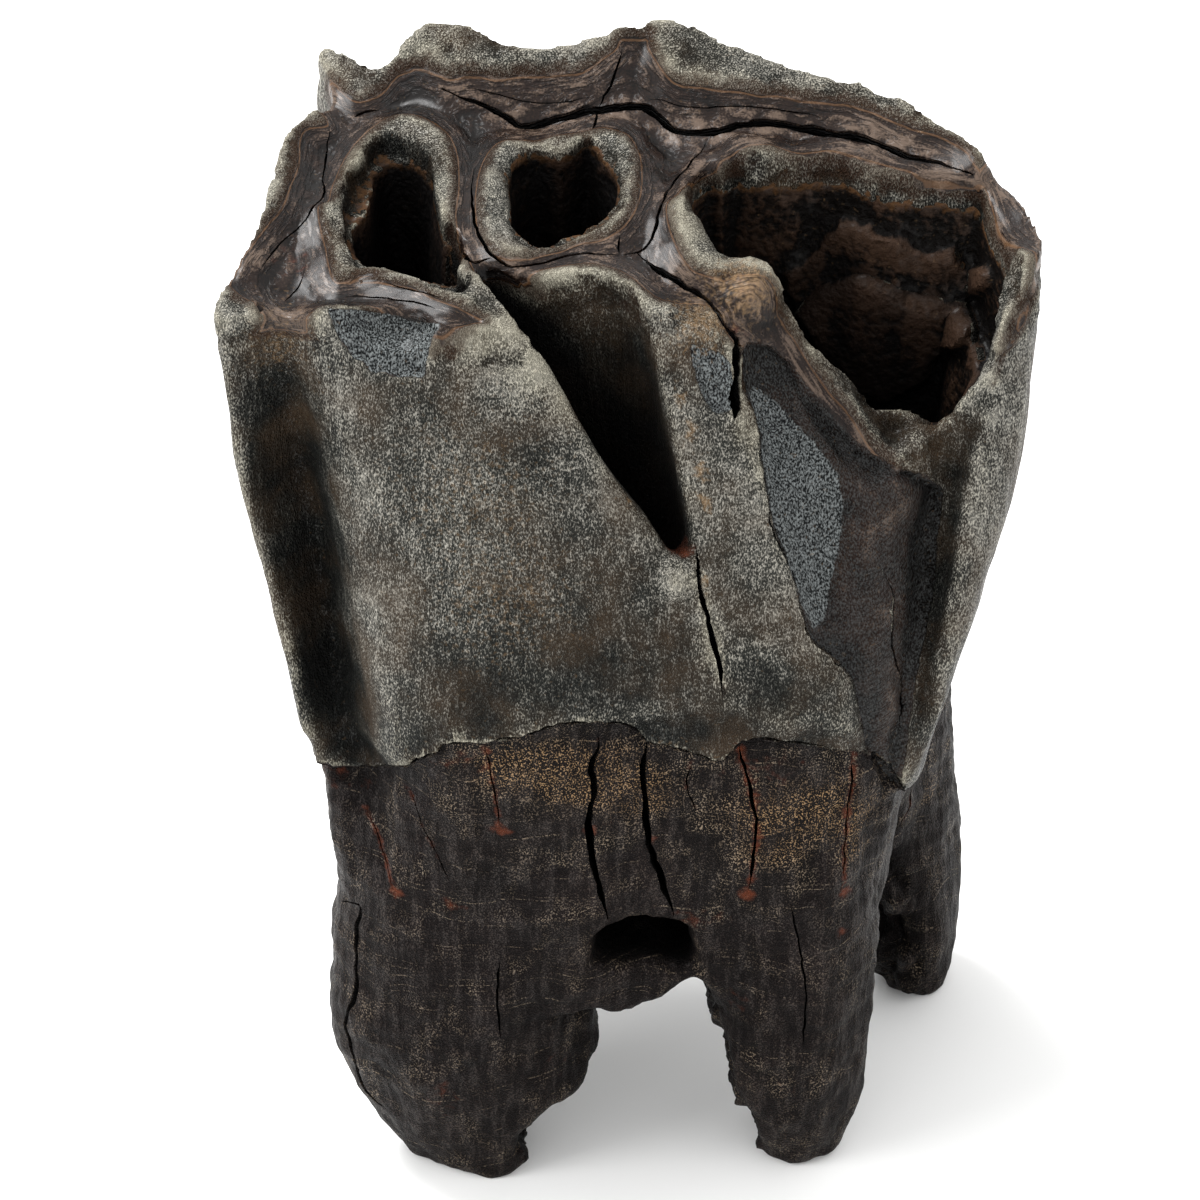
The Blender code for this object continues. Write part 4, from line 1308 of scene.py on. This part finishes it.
    def blade(self, cut: Crack, line: np.ndarray, outward: np.ndarray, number: int) -> bpy.types.Object:
        """Thin wedge that cuts one crack.

        Args:
            cut: the crack.
            line: points along it on the tooth.
            outward: the tooth's normals there.
            number: tells cracks apart, so that each is ragged in its own way.

        Returns:
            The wedge.
        """
        wedge, spread = self.wedge, np.ones(5) / 5.0
        padded = np.pad(outward, ((2, 2), (0, 0)), mode="edge")
        outward = np.column_stack([np.convolve(padded[:, axis], spread, "valid") for axis in range(3)])
        outward[:, 2] += 0.6 * np.clip(outward[:, 2], 0.0, 1.0)
        outward /= np.linalg.norm(outward, axis=1, keepdims=True)
        padded = np.pad(line, ((1, 1), (0, 0)), mode="edge")
        line = 0.25 * padded[:-2] + 0.5 * padded[1:-1] + 0.25 * padded[2:]
        run = np.gradient(line, axis=0)
        across = np.cross(outward, run)
        across /= np.maximum(np.linalg.norm(across, axis=1, keepdims=True), 1e-9)
        share = np.linspace(0.0, 1.0, len(line))
        taper = np.clip(np.minimum(share, 1.0 - share) * wedge.taper, wedge.least, 1.0)
        ragged = 0.5 * cut.width * taper * (1.0 + wedge.ragged * noise(line, 1.2, number + 50, 2))
        wander = min(wedge.wander, 0.5 * cut.width) * noise(line, 0.9, number + 90, 2)
        middle = line + wander[:, None] * across
        half = ragged[:, None] * across
        deep = (cut.depth * taper)[:, None] * outward
        mouth, tip, rise = wedge.mouth * half, wedge.tip * half, middle + wedge.above * outward
        return prism("crack", [
            np.array([r + m, r - m, b - t, b + t]) for r, m, b, t in zip(rise, mouth, middle - deep, tip)
        ])

    def keep_above_ground(self, tooth: bpy.types.Object) -> None:
        """Keep the root tips flat on the surface that the tooth stands on."""
        places = coordinates(tooth)
        places[:, 2] = np.maximum(places[:, 2], 0.0)
        set_coordinates(tooth, places)

    def mark(self, tooth: bpy.types.Object, before: BVHTree, lines: list[tuple[Crack, np.ndarray]]) -> None:
        """Keep on the skin what its finish depends on.

        Args:
            tooth: the tooth.
            before: its faces before it was cracked.
            lines: each crack with the points of its line.
        """
        places, outward = coordinates(tooth), normals(tooth)
        x, y, z = places.T
        deep = self.surface.film(x, y) - z
        seam = np.maximum(self.surface.junction(x, y), deep - self.surface.wall_from)
        store(tooth, "seam", seam)
        store(tooth, "cervix", self.cervix.above(places))
        lining = np.full(len(places), -5.0)
        for pit, hole in zip(self.surface.pits, self.surface.holes):
            worn = self.surface.film(x, y) + self.surface.worn - pit.fall - pit.enamel
            middle = hole.mean(axis=0)
            inwards = outward[:, 0] * (middle[0] - x) + outward[:, 1] * (middle[1] - y)
            within = np.where((inwards > -0.5) & (z > pit.floor - 1.0), depth_in(hole, x, y) + 0.7, -1.0)
            lining = np.maximum(lining, np.minimum(worn - z, 2.0 * within))
        store(tooth, "lining", lining)
        bare = self.patch_depth(BARED.loop, places, outward)
        blue = np.max([self.patch_depth(patch.loop, places, outward) for patch in BLUE], axis=0)
        store(tooth, "bared", np.maximum(bare, blue))
        store(tooth, "blue", blue)
        store(tooth, "broken", self.broken(places, outward))
        store(tooth, "cut", np.array([before.find_nearest(Vector(place))[3] for place in places]))
        # How far each place stands out of its surroundings. The finishes paint it lighter, partly for wear
        # and partly as a painted highlight.
        store(tooth, "relief", np.einsum("ij,ij->i", places - smoothed(tooth, places, 24), outward))
        # Painted shade, partly peat stain: how closed in each place is, which darkens its colour.
        store(tooth, "peat_stain_and_painted_shade", self.find_peat_stain_and_painted_shade(tooth, before, places, outward))
        ends = {name: self.stain(spots, before, places) for name, spots in (
            ("rust", RUST), ("ochre", OCHRE), ("polish_and_highlight", POLISH_AND_HIGHLIGHT),
        )}
        finder_points = np.concatenate([line for _, line in lines])
        amounts = np.concatenate([np.full(len(line), crack.rust) for crack, line in lines])
        finder = KDTree(len(finder_points))
        for index, point in enumerate(finder_points):
            finder.insert(Vector(point), index)
        finder.balance()
        near = [finder.find(Vector(place))[1:] for place in places]
        index, gap = np.array([n[0] for n in near]), np.array([n[1] for n in near])
        ends["rust"] = np.maximum(ends["rust"], amounts[index] * np.exp(-((gap / self.stain_reach) ** 2)))
        for name, values in ends.items():
            store(tooth, name, values)

    def find_peat_stain_and_painted_shade(
        self, tooth: bpy.types.Object, tree: BVHTree, places: np.ndarray, outward: np.ndarray,
    ) -> np.ndarray:
        """How closed in each place is. The finishes darken the colour there, partly for peat that has settled
        and stained the tooth black, and partly as painted shade.

        Args:
            tooth: the tooth.
            tree: its faces.
            places: places of its vertices.
            outward: normals there.

        Returns:
            A number from 0 in the open to 1 where every line of sight is blocked.
        """
        aside = np.cross(outward, np.where(np.abs(outward[:, 2:]) < 0.9, (0.0, 0.0, 1.0), (1.0, 0.0, 0.0)))
        aside /= np.linalg.norm(aside, axis=1, keepdims=True)
        over = np.cross(outward, aside)
        starts = [Vector(place) for place in places + 0.25 * outward]
        blocked = np.zeros(len(places))
        for number in range(self.sights):
            lean = math.radians(70.0) * math.sqrt((number + 0.5) / self.sights)
            turn = number * math.radians(137.5)
            sideways = math.cos(turn) * aside + math.sin(turn) * over
            sight = math.cos(lean) * outward + math.sin(lean) * sideways
            blocked += [
                tree.ray_cast(start, Vector(way), self.sight_length)[0] is not None
                for start, way in zip(starts, sight)
            ]
        return smoothed(tooth, blocked[:, None] / self.sights, 5)[:, 0]

    @staticmethod
    def stain(spots: tuple[Spot, ...], tree: BVHTree, places: np.ndarray) -> np.ndarray:
        """Strength of stains at places.

        Args:
            spots: the stains.
            tree: faces of the tooth.
            places: the places.

        Returns:
            A number from 0 to 1 for each place.
        """
        total = np.zeros(len(places))
        for spot in spots:
            centre, _ = spot.side.value.onto_tree((spot.pixel,), tree)
            if not len(centre):
                continue
            right = spot.side.value.axes[0]
            away = places - centre[0]
            wide = away @ right
            rest = away - wide[:, None] * right
            reach = (wide / (spot.radius * spot.stretch)) ** 2 + (rest**2).sum(axis=1) / spot.radius**2
            total = np.maximum(total, spot.strength * np.exp(-reach))
        return total


# Finishes


MARKS = (
    "seam", "cervix", "lining", "bared", "blue", "broken", "cut", "relief", "peat_stain_and_painted_shade", "rust", "ochre", "polish_and_highlight",
)


class Node(Enum):
    """Nodes that the finishes use: type, settings, sockets for the values in order, and output."""

    HERE = ("ShaderNodeTexCoord", {}, (), "Object")
    KEPT = ("ShaderNodeAttribute", {}, (), "Fac")
    NOISE = ("ShaderNodeTexNoise", {}, ("Vector", "Scale", "Detail", "Distortion"), "Fac")
    STRETCH = ("ShaderNodeVectorMath", {"operation": "MULTIPLY"}, (0, 1), 0)
    SPLIT = ("ShaderNodeSeparateXYZ", {}, (0,), 0)
    JOIN = ("ShaderNodeCombineXYZ", {}, (0, 1, 2), 0)
    PLUS = ("ShaderNodeMath", {"operation": "ADD"}, (0, 1), 0)
    MINUS = ("ShaderNodeMath", {"operation": "SUBTRACT"}, (0, 1), 0)
    TIMES = ("ShaderNodeMath", {"operation": "MULTIPLY"}, (0, 1), 0)
    TIMES_PLUS = ("ShaderNodeMath", {"operation": "MULTIPLY_ADD"}, (0, 1, 2), 0)
    LEAST = ("ShaderNodeMath", {"operation": "MINIMUM"}, (0, 1), 0)
    MOST = ("ShaderNodeMath", {"operation": "MAXIMUM"}, (0, 1), 0)
    SIZE = ("ShaderNodeMath", {"operation": "ABSOLUTE"}, (0,), 0)
    RAMP = ("ShaderNodeMapRange", {"interpolation_type": "SMOOTHSTEP"}, ("Value", "From Min", "From Max"), 0)
    BLEND = ("ShaderNodeMix", {"data_type": "RGBA"}, (0, 6, 7), 2)
    BETWEEN = ("ShaderNodeMix", {"data_type": "FLOAT"}, (0, 2, 3), 0)
    BUMP = ("ShaderNodeBump", {}, ("Height", "Distance", "Strength"), 0)


class Wires:
    """Short way to write a material.

    Attributes:
        kept: outputs that read the numbers kept on the skin, by their names.
    """

    def __init__(self, name: str, marks: tuple[str, ...] = ()) -> None:
        """Start an empty material that reads these marks."""
        self.material = bpy.data.materials.new(name)
        self.material.use_nodes = True
        self.shader = self.material.node_tree.nodes["Principled BSDF"]
        self.kept = {mark: self.add(Node.KEPT, attribute_name=mark) for mark in marks}

    def add(self, recipe: Node, *values: object, **settings: object) -> bpy.types.NodeSocket:
        """Add a node with its settings and links.

        Args:
            recipe: which kind of node.
            values: for each socket of the recipe, an output to link or a value to set.
            settings: properties of the node besides those of the recipe.

        Returns:
            The output that the recipe names.
        """
        kind, fixed, sockets, output = recipe.value
        node = self.material.node_tree.nodes.new(kind)
        for name, value in (fixed | settings).items():
            setattr(node, name, value)
        for socket, value in zip(sockets, values):
            self.put(node.inputs[socket], value)
        return node.outputs[output]

    def put(self, socket: bpy.types.NodeSocket, value: object) -> None:
        """Link an output to a socket, or set the socket's value.

        Args:
            socket: the socket.
            value: an output, a number, a vector or an sRGB hex value.
        """
        if isinstance(value, bpy.types.NodeSocket):
            self.material.node_tree.links.new(value, socket)
        elif isinstance(value, str):
            socket.default_value = linear(value)
        else:
            socket.default_value = value

    def tone_with_wear_and_painted_light(
        self, parts: dict[bpy.types.NodeSocket, float], edge: float, shade: float,
    ) -> bpy.types.NodeSocket:
        """Weighted sum of patterns, lighter where an edge stands out, partly for wear and partly as a painted
        highlight, and darker in closed places, partly for peat stain and partly as painted shade.

        Args:
            parts: the patterns and their weights.
            edge: how much lighter it is for each millimetre by which an edge stands out.
            shade: how much darker it is where no light comes in.

        Returns:
            The sum.
        """
        # Painted shade and painted highlight: closed places are darkened, partly for peat stain, and edges
        # that stand out are lightened, partly for wear.
        peat_and_painted_shade_tone = self.add(Node.TIMES, self.kept["peat_stain_and_painted_shade"], -shade)
        standing = self.add(Node.LEAST, self.kept["relief"], 0.35)
        tone = self.add(Node.TIMES_PLUS, standing, edge, peat_and_painted_shade_tone)
        for part, weight in parts.items():
            tone = self.add(Node.TIMES_PLUS, part, weight, tone)
        return tone


@dataclass(frozen=True)
class EnamelFinish:
    """Enamel: olive grey, with upright streaks and pale grains that catch the light, and cream rims, partly
    enamel polished by wear and partly a painted highlight.

    The prisms of real enamel are a few thousandths of a millimetre wide. That is too fine to show, so
    their grain is drawn as coarse as the photograph resolves it. Sizes are in millimetres, and heights
    are shares of the tooth's relief.
    """

    deep: str = "#0b0c0b"
    body: str = "#292a27"
    pale: str = "#96938a"
    cream: str = "#aba695"
    warm: str = "#4a3a2a"
    tanned: str = "#34241a"
    roughness: float = 0.48
    grain: float = 0.1
    streak: float = 0.38
    wave: float = 0.45
    cloud: float = 6.5
    warmth: float = 4.6
    grain_height: float = 0.7
    streak_height: float = 0.45

    def look(self, wires: Wires, place: bpy.types.NodeSocket) -> tuple[bpy.types.NodeSocket, ...]:
        """Colour and height of enamel.

        Args:
            wires: the material.
            place: place on the tooth in millimetres.

        Returns:
            The colour and the height.
        """
        add, kept = wires.add, wires.kept
        upright = add(Node.STRETCH, place, (1.0, 1.0, 0.5))
        grain = add(Node.RAMP, add(Node.NOISE, upright, 1 / self.grain, 1.0), 0.3, 0.7)
        drawn = add(Node.STRETCH, place, (1.0, 1.0, 0.16))
        streaks = add(Node.RAMP, add(Node.NOISE, drawn, 1 / self.streak, 1.0), 0.33, 0.67)
        clouds = add(Node.RAMP, add(Node.NOISE, place, 1 / self.cloud, 3.0), 0.27, 0.73)
        level = add(Node.STRETCH, place, (0.25, 0.25, 1.0))
        waves = add(Node.RAMP, add(Node.NOISE, level, 1 / self.wave, 0.0, 0.8), 0.4, 0.6)
        waves = add(Node.TIMES, waves, add(Node.RAMP, add(Node.NOISE, place, 1 / 5.5, 0.0), 0.5, 0.62))
        # Painted shade: the enamel is darker towards the neck of the tooth, lower down.
        low = add(Node.RAMP, kept["cervix"], 13.0, 1.0)
        parts = {grain: 0.62, streaks: 0.18, clouds: 0.26, waves: 0.14, low: -0.36}
        tone = wires.tone_with_wear_and_painted_light(parts, 0.9, 0.6)
        colour = add(Node.BLEND, add(Node.RAMP, tone, -0.1, 0.56), self.deep, self.body)
        colour = add(Node.BLEND, add(Node.RAMP, tone, 0.42, 1.25), colour, self.pale)
        warm = add(Node.TIMES, add(Node.RAMP, add(Node.NOISE, place, 1 / self.warmth, 3.0), 0.38, 0.74), 0.5)
        colour = add(Node.BLEND, warm, colour, self.warm)
        # Painted highlight, partly enamel polished by wear: the enamel turns cream where it stands out, near
        # the dentine and at the listed spots.
        edge = add(Node.TIMES_PLUS, kept["relief"], 1.7, kept["polish_and_highlight"])
        edge = add(Node.TIMES_PLUS, grain, 0.5, edge)
        edge = add(Node.TIMES_PLUS, add(Node.RAMP, kept["seam"], 1.6, 0.4), 0.35, edge)
        colour = add(Node.BLEND, add(Node.TIMES, add(Node.RAMP, edge, 0.6, 1.8), 0.85), colour, self.cream)
        ragged = add(Node.TIMES_PLUS, add(Node.NOISE, place, 1 / 0.7, 1.0), 0.9, kept["seam"])
        tanned = add(Node.TIMES, add(Node.RAMP, ragged, 1.3, 0.6), 0.72)
        colour = add(Node.BLEND, tanned, colour, self.tanned)
        raised = add(Node.TIMES, grain, self.grain_height)
        return colour, add(Node.TIMES_PLUS, streaks, self.streak_height, raised)


@dataclass(frozen=True)
class DentineFinish:
    """Worn dentine: satin purple brown, with fine lines that follow the enamel, polished by chewing.

    Real growth lines in dentine are finer than a tenth of a millimetre. Only the bundles of them that the
    eye takes for one line are drawn.
    """

    deep: str = "#080504"
    body: str = "#2b1e18"
    pale: str = "#7d6a5c"
    seam: str = "#66492f"
    blue: str = "#090b0c"
    spark: str = "#6b6f6f"
    roughness: float = 0.33
    line: float = 0.22
    cloud: float = 3.2
    pore: float = 0.14
    crystal: float = 0.11
    line_height: float = 0.8

    def look(
        self, wires: Wires, place: bpy.types.NodeSocket, bared: bpy.types.NodeSocket,
    ) -> tuple[bpy.types.NodeSocket, ...]:
        """Colour and height of worn dentine, and of dentine that is bared where enamel broke off.

        Args:
            wires: the material.
            place: place on the tooth in millimetres.
            bared: share of the surface from which enamel broke off.

        Returns:
            The colour and the height.
        """
        add, seam = wires.add, wires.kept["seam"]
        split = add(Node.SPLIT, add(Node.STRETCH, place, (0.16, 0.16, 0.1)))
        along = add(Node.JOIN, seam, split, split.node.outputs["Y"])
        lines = add(Node.RAMP, add(Node.NOISE, along, 1 / self.line, 2.0), 0.35, 0.65)
        lines = add(Node.TIMES, lines, add(Node.BETWEEN, bared, 1.0, 0.25))
        clouds = add(Node.RAMP, add(Node.NOISE, place, 1 / self.cloud, 2.0), 0.33, 0.67)
        pores = add(Node.RAMP, add(Node.NOISE, place, 1 / self.pore, 0.0), 0.3, 0.7)
        tone = wires.tone_with_wear_and_painted_light({lines: 0.42, clouds: 0.36, pores: 0.24}, 1.0, 0.6)
        colour = add(Node.BLEND, add(Node.RAMP, tone, 0.05, 0.55), self.deep, self.body)
        colour = add(Node.BLEND, add(Node.RAMP, tone, 0.55, 1.05), colour, self.pale)
        band = add(Node.TIMES, add(Node.RAMP, seam, -1.9, -1.5), 0.6)
        colour = add(Node.BLEND, band, colour, self.deep)
        edge = add(Node.RAMP, add(Node.SIZE, add(Node.PLUS, seam, 0.12)), 0.08, 0.02)
        edge = add(Node.TIMES, edge, add(Node.BETWEEN, bared, 0.42, 0.0))
        colour = add(Node.BLEND, edge, colour, self.seam)
        upright = add(Node.STRETCH, place, (1.0, 1.0, 0.55))
        grain = add(Node.RAMP, add(Node.NOISE, upright, 1 / self.crystal, 1.0), 0.36, 0.74)
        rough = add(Node.TIMES, grain, add(Node.TIMES, bared, 0.2))
        colour = add(Node.BLEND, rough, colour, self.spark)
        ragged = add(Node.TIMES_PLUS, add(Node.NOISE, place, 1 / 1.2, 1.0), 0.6, wires.kept["blue"])
        blue = add(Node.BLEND, grain, self.blue, self.spark)
        colour = add(Node.BLEND, add(Node.RAMP, ragged, 0.2, 0.36), colour, blue)
        return colour, add(Node.TIMES, lines, self.line_height)


@dataclass(frozen=True)
class RootFinish:
    """Root: peat-black brown, with dull speckle, growth lines, and rust and ochre stains from the gravel.

    The specks are real grains of silt of a tenth of a millimetre, and the growth lines lie one to two
    millimetres apart.
    """

    deep: str = "#060404"
    body: str = "#161110"
    pale: str = "#3d332d"
    speck: str = "#958571"
    rust: str = "#6a3520"
    ochre: str = "#957856"
    roughness: float = 0.6
    silt: float = 0.11
    fibre: float = 0.6
    cloud: float = 4.5
    ring: float = 0.22
    bend: float = 5.0
    fibre_height: float = 0.6
    silt_height: float = 0.6

    def look(self, wires: Wires, place: bpy.types.NodeSocket) -> tuple[bpy.types.NodeSocket, ...]:
        """Colour and height of the root.

        Args:
            wires: the material.
            place: place on the tooth in millimetres.

        Returns:
            The colour and the height.
        """
        add, kept = wires.add, wires.kept
        clouds = add(Node.RAMP, add(Node.NOISE, place, 1 / self.cloud, 2.0), 0.27, 0.73)
        drawn = add(Node.STRETCH, place, (1.0, 1.0, 0.14))
        fibres = add(Node.RAMP, add(Node.NOISE, drawn, 1 / self.fibre, 2.0), 0.33, 0.67)
        upright = add(Node.STRETCH, place, (1.0, 1.0, 0.8))
        silt = add(Node.RAMP, add(Node.NOISE, upright, 1 / self.silt, 1.0), 0.3, 0.7)
        tone = wires.tone_with_wear_and_painted_light({clouds: 0.12, fibres: 0.26, silt: 0.5, kept["broken"]: -0.3}, 0.5, 0.5)
        colour = add(Node.BLEND, add(Node.RAMP, tone, -0.1, 0.7), self.deep, self.body)
        colour = add(Node.BLEND, add(Node.RAMP, tone, 0.42, 1.3), colour, self.pale)
        many = add(Node.TIMES_PLUS, kept["ochre"], 0.55, add(Node.NOISE, place, 1 / 2.2, 2.0))
        speck = add(Node.TIMES, add(Node.RAMP, silt, 0.62, 1.0), add(Node.RAMP, many, 0.46, 0.95))
        tint = add(Node.BLEND, add(Node.RAMP, kept["ochre"], 0.1, 0.6), self.speck, self.ochre)
        colour = add(Node.BLEND, add(Node.TIMES, speck, 0.75), colour, tint)
        level = add(Node.SPLIT, place).node.outputs["Z"]
        bent = add(Node.TIMES_PLUS, add(Node.NOISE, place, 1 / self.bend, 0.0), 4.0, level)
        rings = add(Node.NOISE, add(Node.JOIN, bent), 1 / self.ring, 1.0)
        torn = add(Node.RAMP, add(Node.NOISE, place, 1 / 1.3, 1.0), 0.42, 0.56)
        torn = add(Node.TIMES, torn, add(Node.RAMP, silt, 0.2, 0.8))
        thread = add(Node.TIMES, add(Node.RAMP, rings, 0.6, 0.7), torn)
        shown = add(Node.TIMES, thread, add(Node.TIMES_PLUS, kept["ochre"], 0.4, 0.5))
        colour = add(Node.BLEND, shown, colour, tint)
        raised = add(Node.TIMES, silt, self.silt_height)
        return colour, add(Node.TIMES_PLUS, fibres, self.fibre_height, raised)


@dataclass(frozen=True)
class LiningFinish:
    """Lining of the pits: rough brown cement, with an ochre broken edge under the enamel."""

    deep: str = "#070504"
    body: str = "#32241b"
    edge: str = "#5b4028"
    roughness: float = 0.7
    crumb: float = 0.55
    cloud: float = 3.0
    crumb_height: float = 1.6

    def look(self, wires: Wires, place: bpy.types.NodeSocket) -> tuple[bpy.types.NodeSocket, ...]:
        """Colour and height of the pits' lining.

        Args:
            wires: the material.
            place: place on the tooth in millimetres.

        Returns:
            The colour and the height.
        """
        add = wires.add
        crumbs = add(Node.NOISE, place, 1 / self.crumb, 3.0)
        clouds = add(Node.RAMP, add(Node.NOISE, place, 1 / self.cloud, 1.0), 0.33, 0.67)
        tone = wires.tone_with_wear_and_painted_light({add(Node.RAMP, crumbs, 0.35, 0.65): 0.5, clouds: 0.4}, 2.2, 0.3)
        colour = add(Node.BLEND, add(Node.RAMP, tone, 0.05, 0.8), self.deep, self.body)
        edge = add(Node.TIMES_PLUS, crumbs, 1.6, wires.kept["lining"])
        edge = add(Node.TIMES, add(Node.RAMP, edge, 1.3, 0.7), 0.55)
        colour = add(Node.BLEND, edge, colour, self.edge)
        return colour, add(Node.TIMES, crumbs, self.crumb_height)


@dataclass(frozen=True)
class ToothFinish:
    """The four finishes and how they meet.

    Attributes:
        black: colour of cracks, and of the most closed places, where it stands partly for peat stain and
            partly for painted shade.
        relief: depth in metres of the finest relief.
        ragged: size in millimetres of the unevenness of every edge between two finishes.
        gloss: strength of the plain reflection, which is low because peat has filled the pores.
        satin: strength of the coat on worn dentine that chewing has polished.
        bared_satin: the same where enamel broke off and nothing was polished.
        glint: strength of the reflection from grains that stand out.
        polish_roughness: roughness of that polished coat.
    """

    enamel: EnamelFinish = EnamelFinish()
    dentine: DentineFinish = DentineFinish()
    root: RootFinish = RootFinish()
    lining: LiningFinish = LiningFinish()
    black: str = "#050404"
    relief: float = 0.00026
    ragged: float = 0.8
    gloss: float = 0.06
    satin: float = 0.24
    bared_satin: float = 0.03
    glint: float = 0.16
    polish_and_highlight_roughness: float = 0.24

    def build(self) -> bpy.types.Material:
        """Write the material.

        Returns:
            The material.
        """
        wires = Wires("mineralised tooth, stained by peat and worn by gravel", MARKS)
        add, kept, inputs = wires.add, wires.kept, wires.shader.inputs
        place = add(Node.STRETCH, add(Node.HERE), (1 / MM, 1 / MM, 1 / MM))
        ragged = add(Node.MINUS, add(Node.NOISE, place, 1 / self.ragged, 2.0), 0.5)

        def mask(name: str, spread: float, reach: float = 0.06) -> bpy.types.NodeSocket:
            """Where a kept distance is positive, with a ragged edge."""
            return add(Node.RAMP, add(Node.TIMES_PLUS, ragged, spread, kept[name]), -reach, reach)

        crown, bared, rim = mask("cervix", 0.9), mask("bared", 0.5), mask("seam", 0.35)
        colour, height = self.dentine.look(wires, place, bared)
        rough = self.dentine.roughness
        for share, finish in (
            (add(Node.TIMES, rim, add(Node.MINUS, 1.0, bared)), self.enamel),
            (mask("lining", 2.2, 0.12), self.lining),
            (add(Node.MINUS, 1.0, crown), self.root),
        ):
            laid, raised = finish.look(wires, place)
            colour = add(Node.BLEND, share, colour, laid)
            height = add(Node.BETWEEN, share, height, raised)
            rough = add(Node.BETWEEN, share, rough, finish.roughness)
        rust = add(Node.RAMP, add(Node.TIMES_PLUS, ragged, 1.1, kept["rust"]), 0.35, 1.0)
        colour = add(Node.BLEND, add(Node.TIMES, rust, 0.65), colour, self.root.rust)
        grains = add(Node.TIMES_PLUS, add(Node.NOISE, place, 1 / 0.3, 1.0), 1.2, kept["ochre"])
        ochre = add(Node.TIMES, add(Node.RAMP, grains, 0.75, 1.45), crown)
        colour = add(Node.BLEND, add(Node.TIMES, ochre, 0.5), colour, self.root.ochre)
        # Painted shade, partly peat stain: closed places go towards black, as do the walls of the cracks.
        closed = add(Node.TIMES, add(Node.RAMP, kept["peat_stain_and_painted_shade"], 0.25, 0.8), 0.9)
        crack_black_and_painted_shade = add(Node.MOST, closed, add(Node.RAMP, kept["cut"], 0.03, 0.22))
        wires.put(inputs["Base Color"], add(Node.BLEND, crack_black_and_painted_shade, colour, self.black))
        wires.put(inputs["Roughness"], add(Node.TIMES_PLUS, height, -0.12, rough))
        wires.put(inputs["Specular IOR Level"], self.gloss)
        satin = add(Node.TIMES, add(Node.MINUS, 1.0, rim), crown)
        satin = add(Node.TIMES, satin, add(Node.MINUS, 1.0, crack_black_and_painted_shade))
        satin = add(Node.TIMES, satin, add(Node.BETWEEN, bared, self.satin, self.bared_satin))
        glint = add(Node.TIMES, add(Node.RAMP, height, 0.6, 1.2), self.glint)
        wires.put(inputs["Coat Weight"], add(Node.PLUS, satin, glint))
        wires.put(inputs["Coat Roughness"], self.polish_and_highlight_roughness)
        wires.put(inputs["Normal"], add(Node.BUMP, height, self.relief, 1.0))
        return wires.material


def linear(colour: str) -> tuple[float, float, float, float]:
    """Linear colour of an sRGB hex value."""
    parts = [int(colour[i : i + 2], 16) / 255.0 for i in (1, 3, 5)]
    return (*(p / 12.92 if p <= 0.04045 else ((p + 0.055) / 1.055) ** 2.4 for p in parts), 1.0)


# Studio


@dataclass(frozen=True)
class Lamp:
    """Square soft lamp that points at the tooth."""

    name: str
    place: tuple[float, float, float]
    power: float
    size: float


@dataclass(frozen=True)
class Studio:
    """Pale floor and soft light."""

    floor_size: float = 3.0
    floor_colour: str = "#f7f7f6"
    floor_roughness: float = 0.7
    floor_gloss: float = 0.2
    aim: tuple[float, float, float] = (0.0, 0.0, 0.045)
    surround: float = 1.4
    lamps: tuple[Lamp, ...] = (
        Lamp("key softbox", (-0.20, 0.14, 0.50), 3.6, 0.22),
        Lamp("side softbox", (-0.45, -0.22, 0.30), 1.3, 0.22),
    )

    def build(self) -> None:
        """Make the floor, the lights and the surround."""
        form = bmesh.new()
        bmesh.ops.create_grid(form, x_segments=1, y_segments=1, size=0.5 * self.floor_size)
        floor = finished(form, "studio_floor")
        wires = Wires("matt white laminate")
        wires.put(wires.shader.inputs["Base Color"], self.floor_colour)
        wires.put(wires.shader.inputs["Roughness"], self.floor_roughness)
        wires.put(wires.shader.inputs["Specular IOR Level"], self.floor_gloss)
        floor.data.materials.append(wires.material)
        for lamp in self.lamps:
            data = bpy.data.lights.new(lamp.name, "AREA")
            data.energy, data.size = lamp.power, lamp.size
            made = bpy.data.objects.new(lamp.name.replace(" ", "_"), data)
            made.location = lamp.place
            sight = Vector(self.aim) - Vector(lamp.place)
            made.rotation_euler = sight.to_track_quat("-Z", "Y").to_euler()
            bpy.context.scene.collection.objects.link(made)
        world = bpy.data.worlds.new("white surround")
        world.use_nodes = True
        background = world.node_tree.nodes["Background"]
        background.inputs["Color"].default_value = (1.0, 1.0, 1.0, 1.0)
        background.inputs["Strength"].default_value = self.surround
        bpy.context.scene.world = world
        bpy.context.scene.view_settings.view_transform = "Standard"


def main() -> None:
    """Build the tooth and its studio."""
    logging.basicConfig(level=logging.INFO, format="%(message)s")
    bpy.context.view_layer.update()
    Side.TONGUE.value.build()
    Studio().build()
    tooth = Tooth().build()
    set_coordinates(tooth, coordinates(tooth) * MM)
    tooth.data.materials.clear()
    tooth.data.materials.append(ToothFinish().build())
    tooth.data.polygons.foreach_set("use_smooth", [True] * len(tooth.data.polygons))
    tooth.data.set_sharp_from_angle(angle=SHARP)
    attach(tooth, BODY)
    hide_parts(CAD_NODE)
    log.info("tooth: %d faces", len(tooth.data.polygons))


if __name__ == "__main__":
    main()
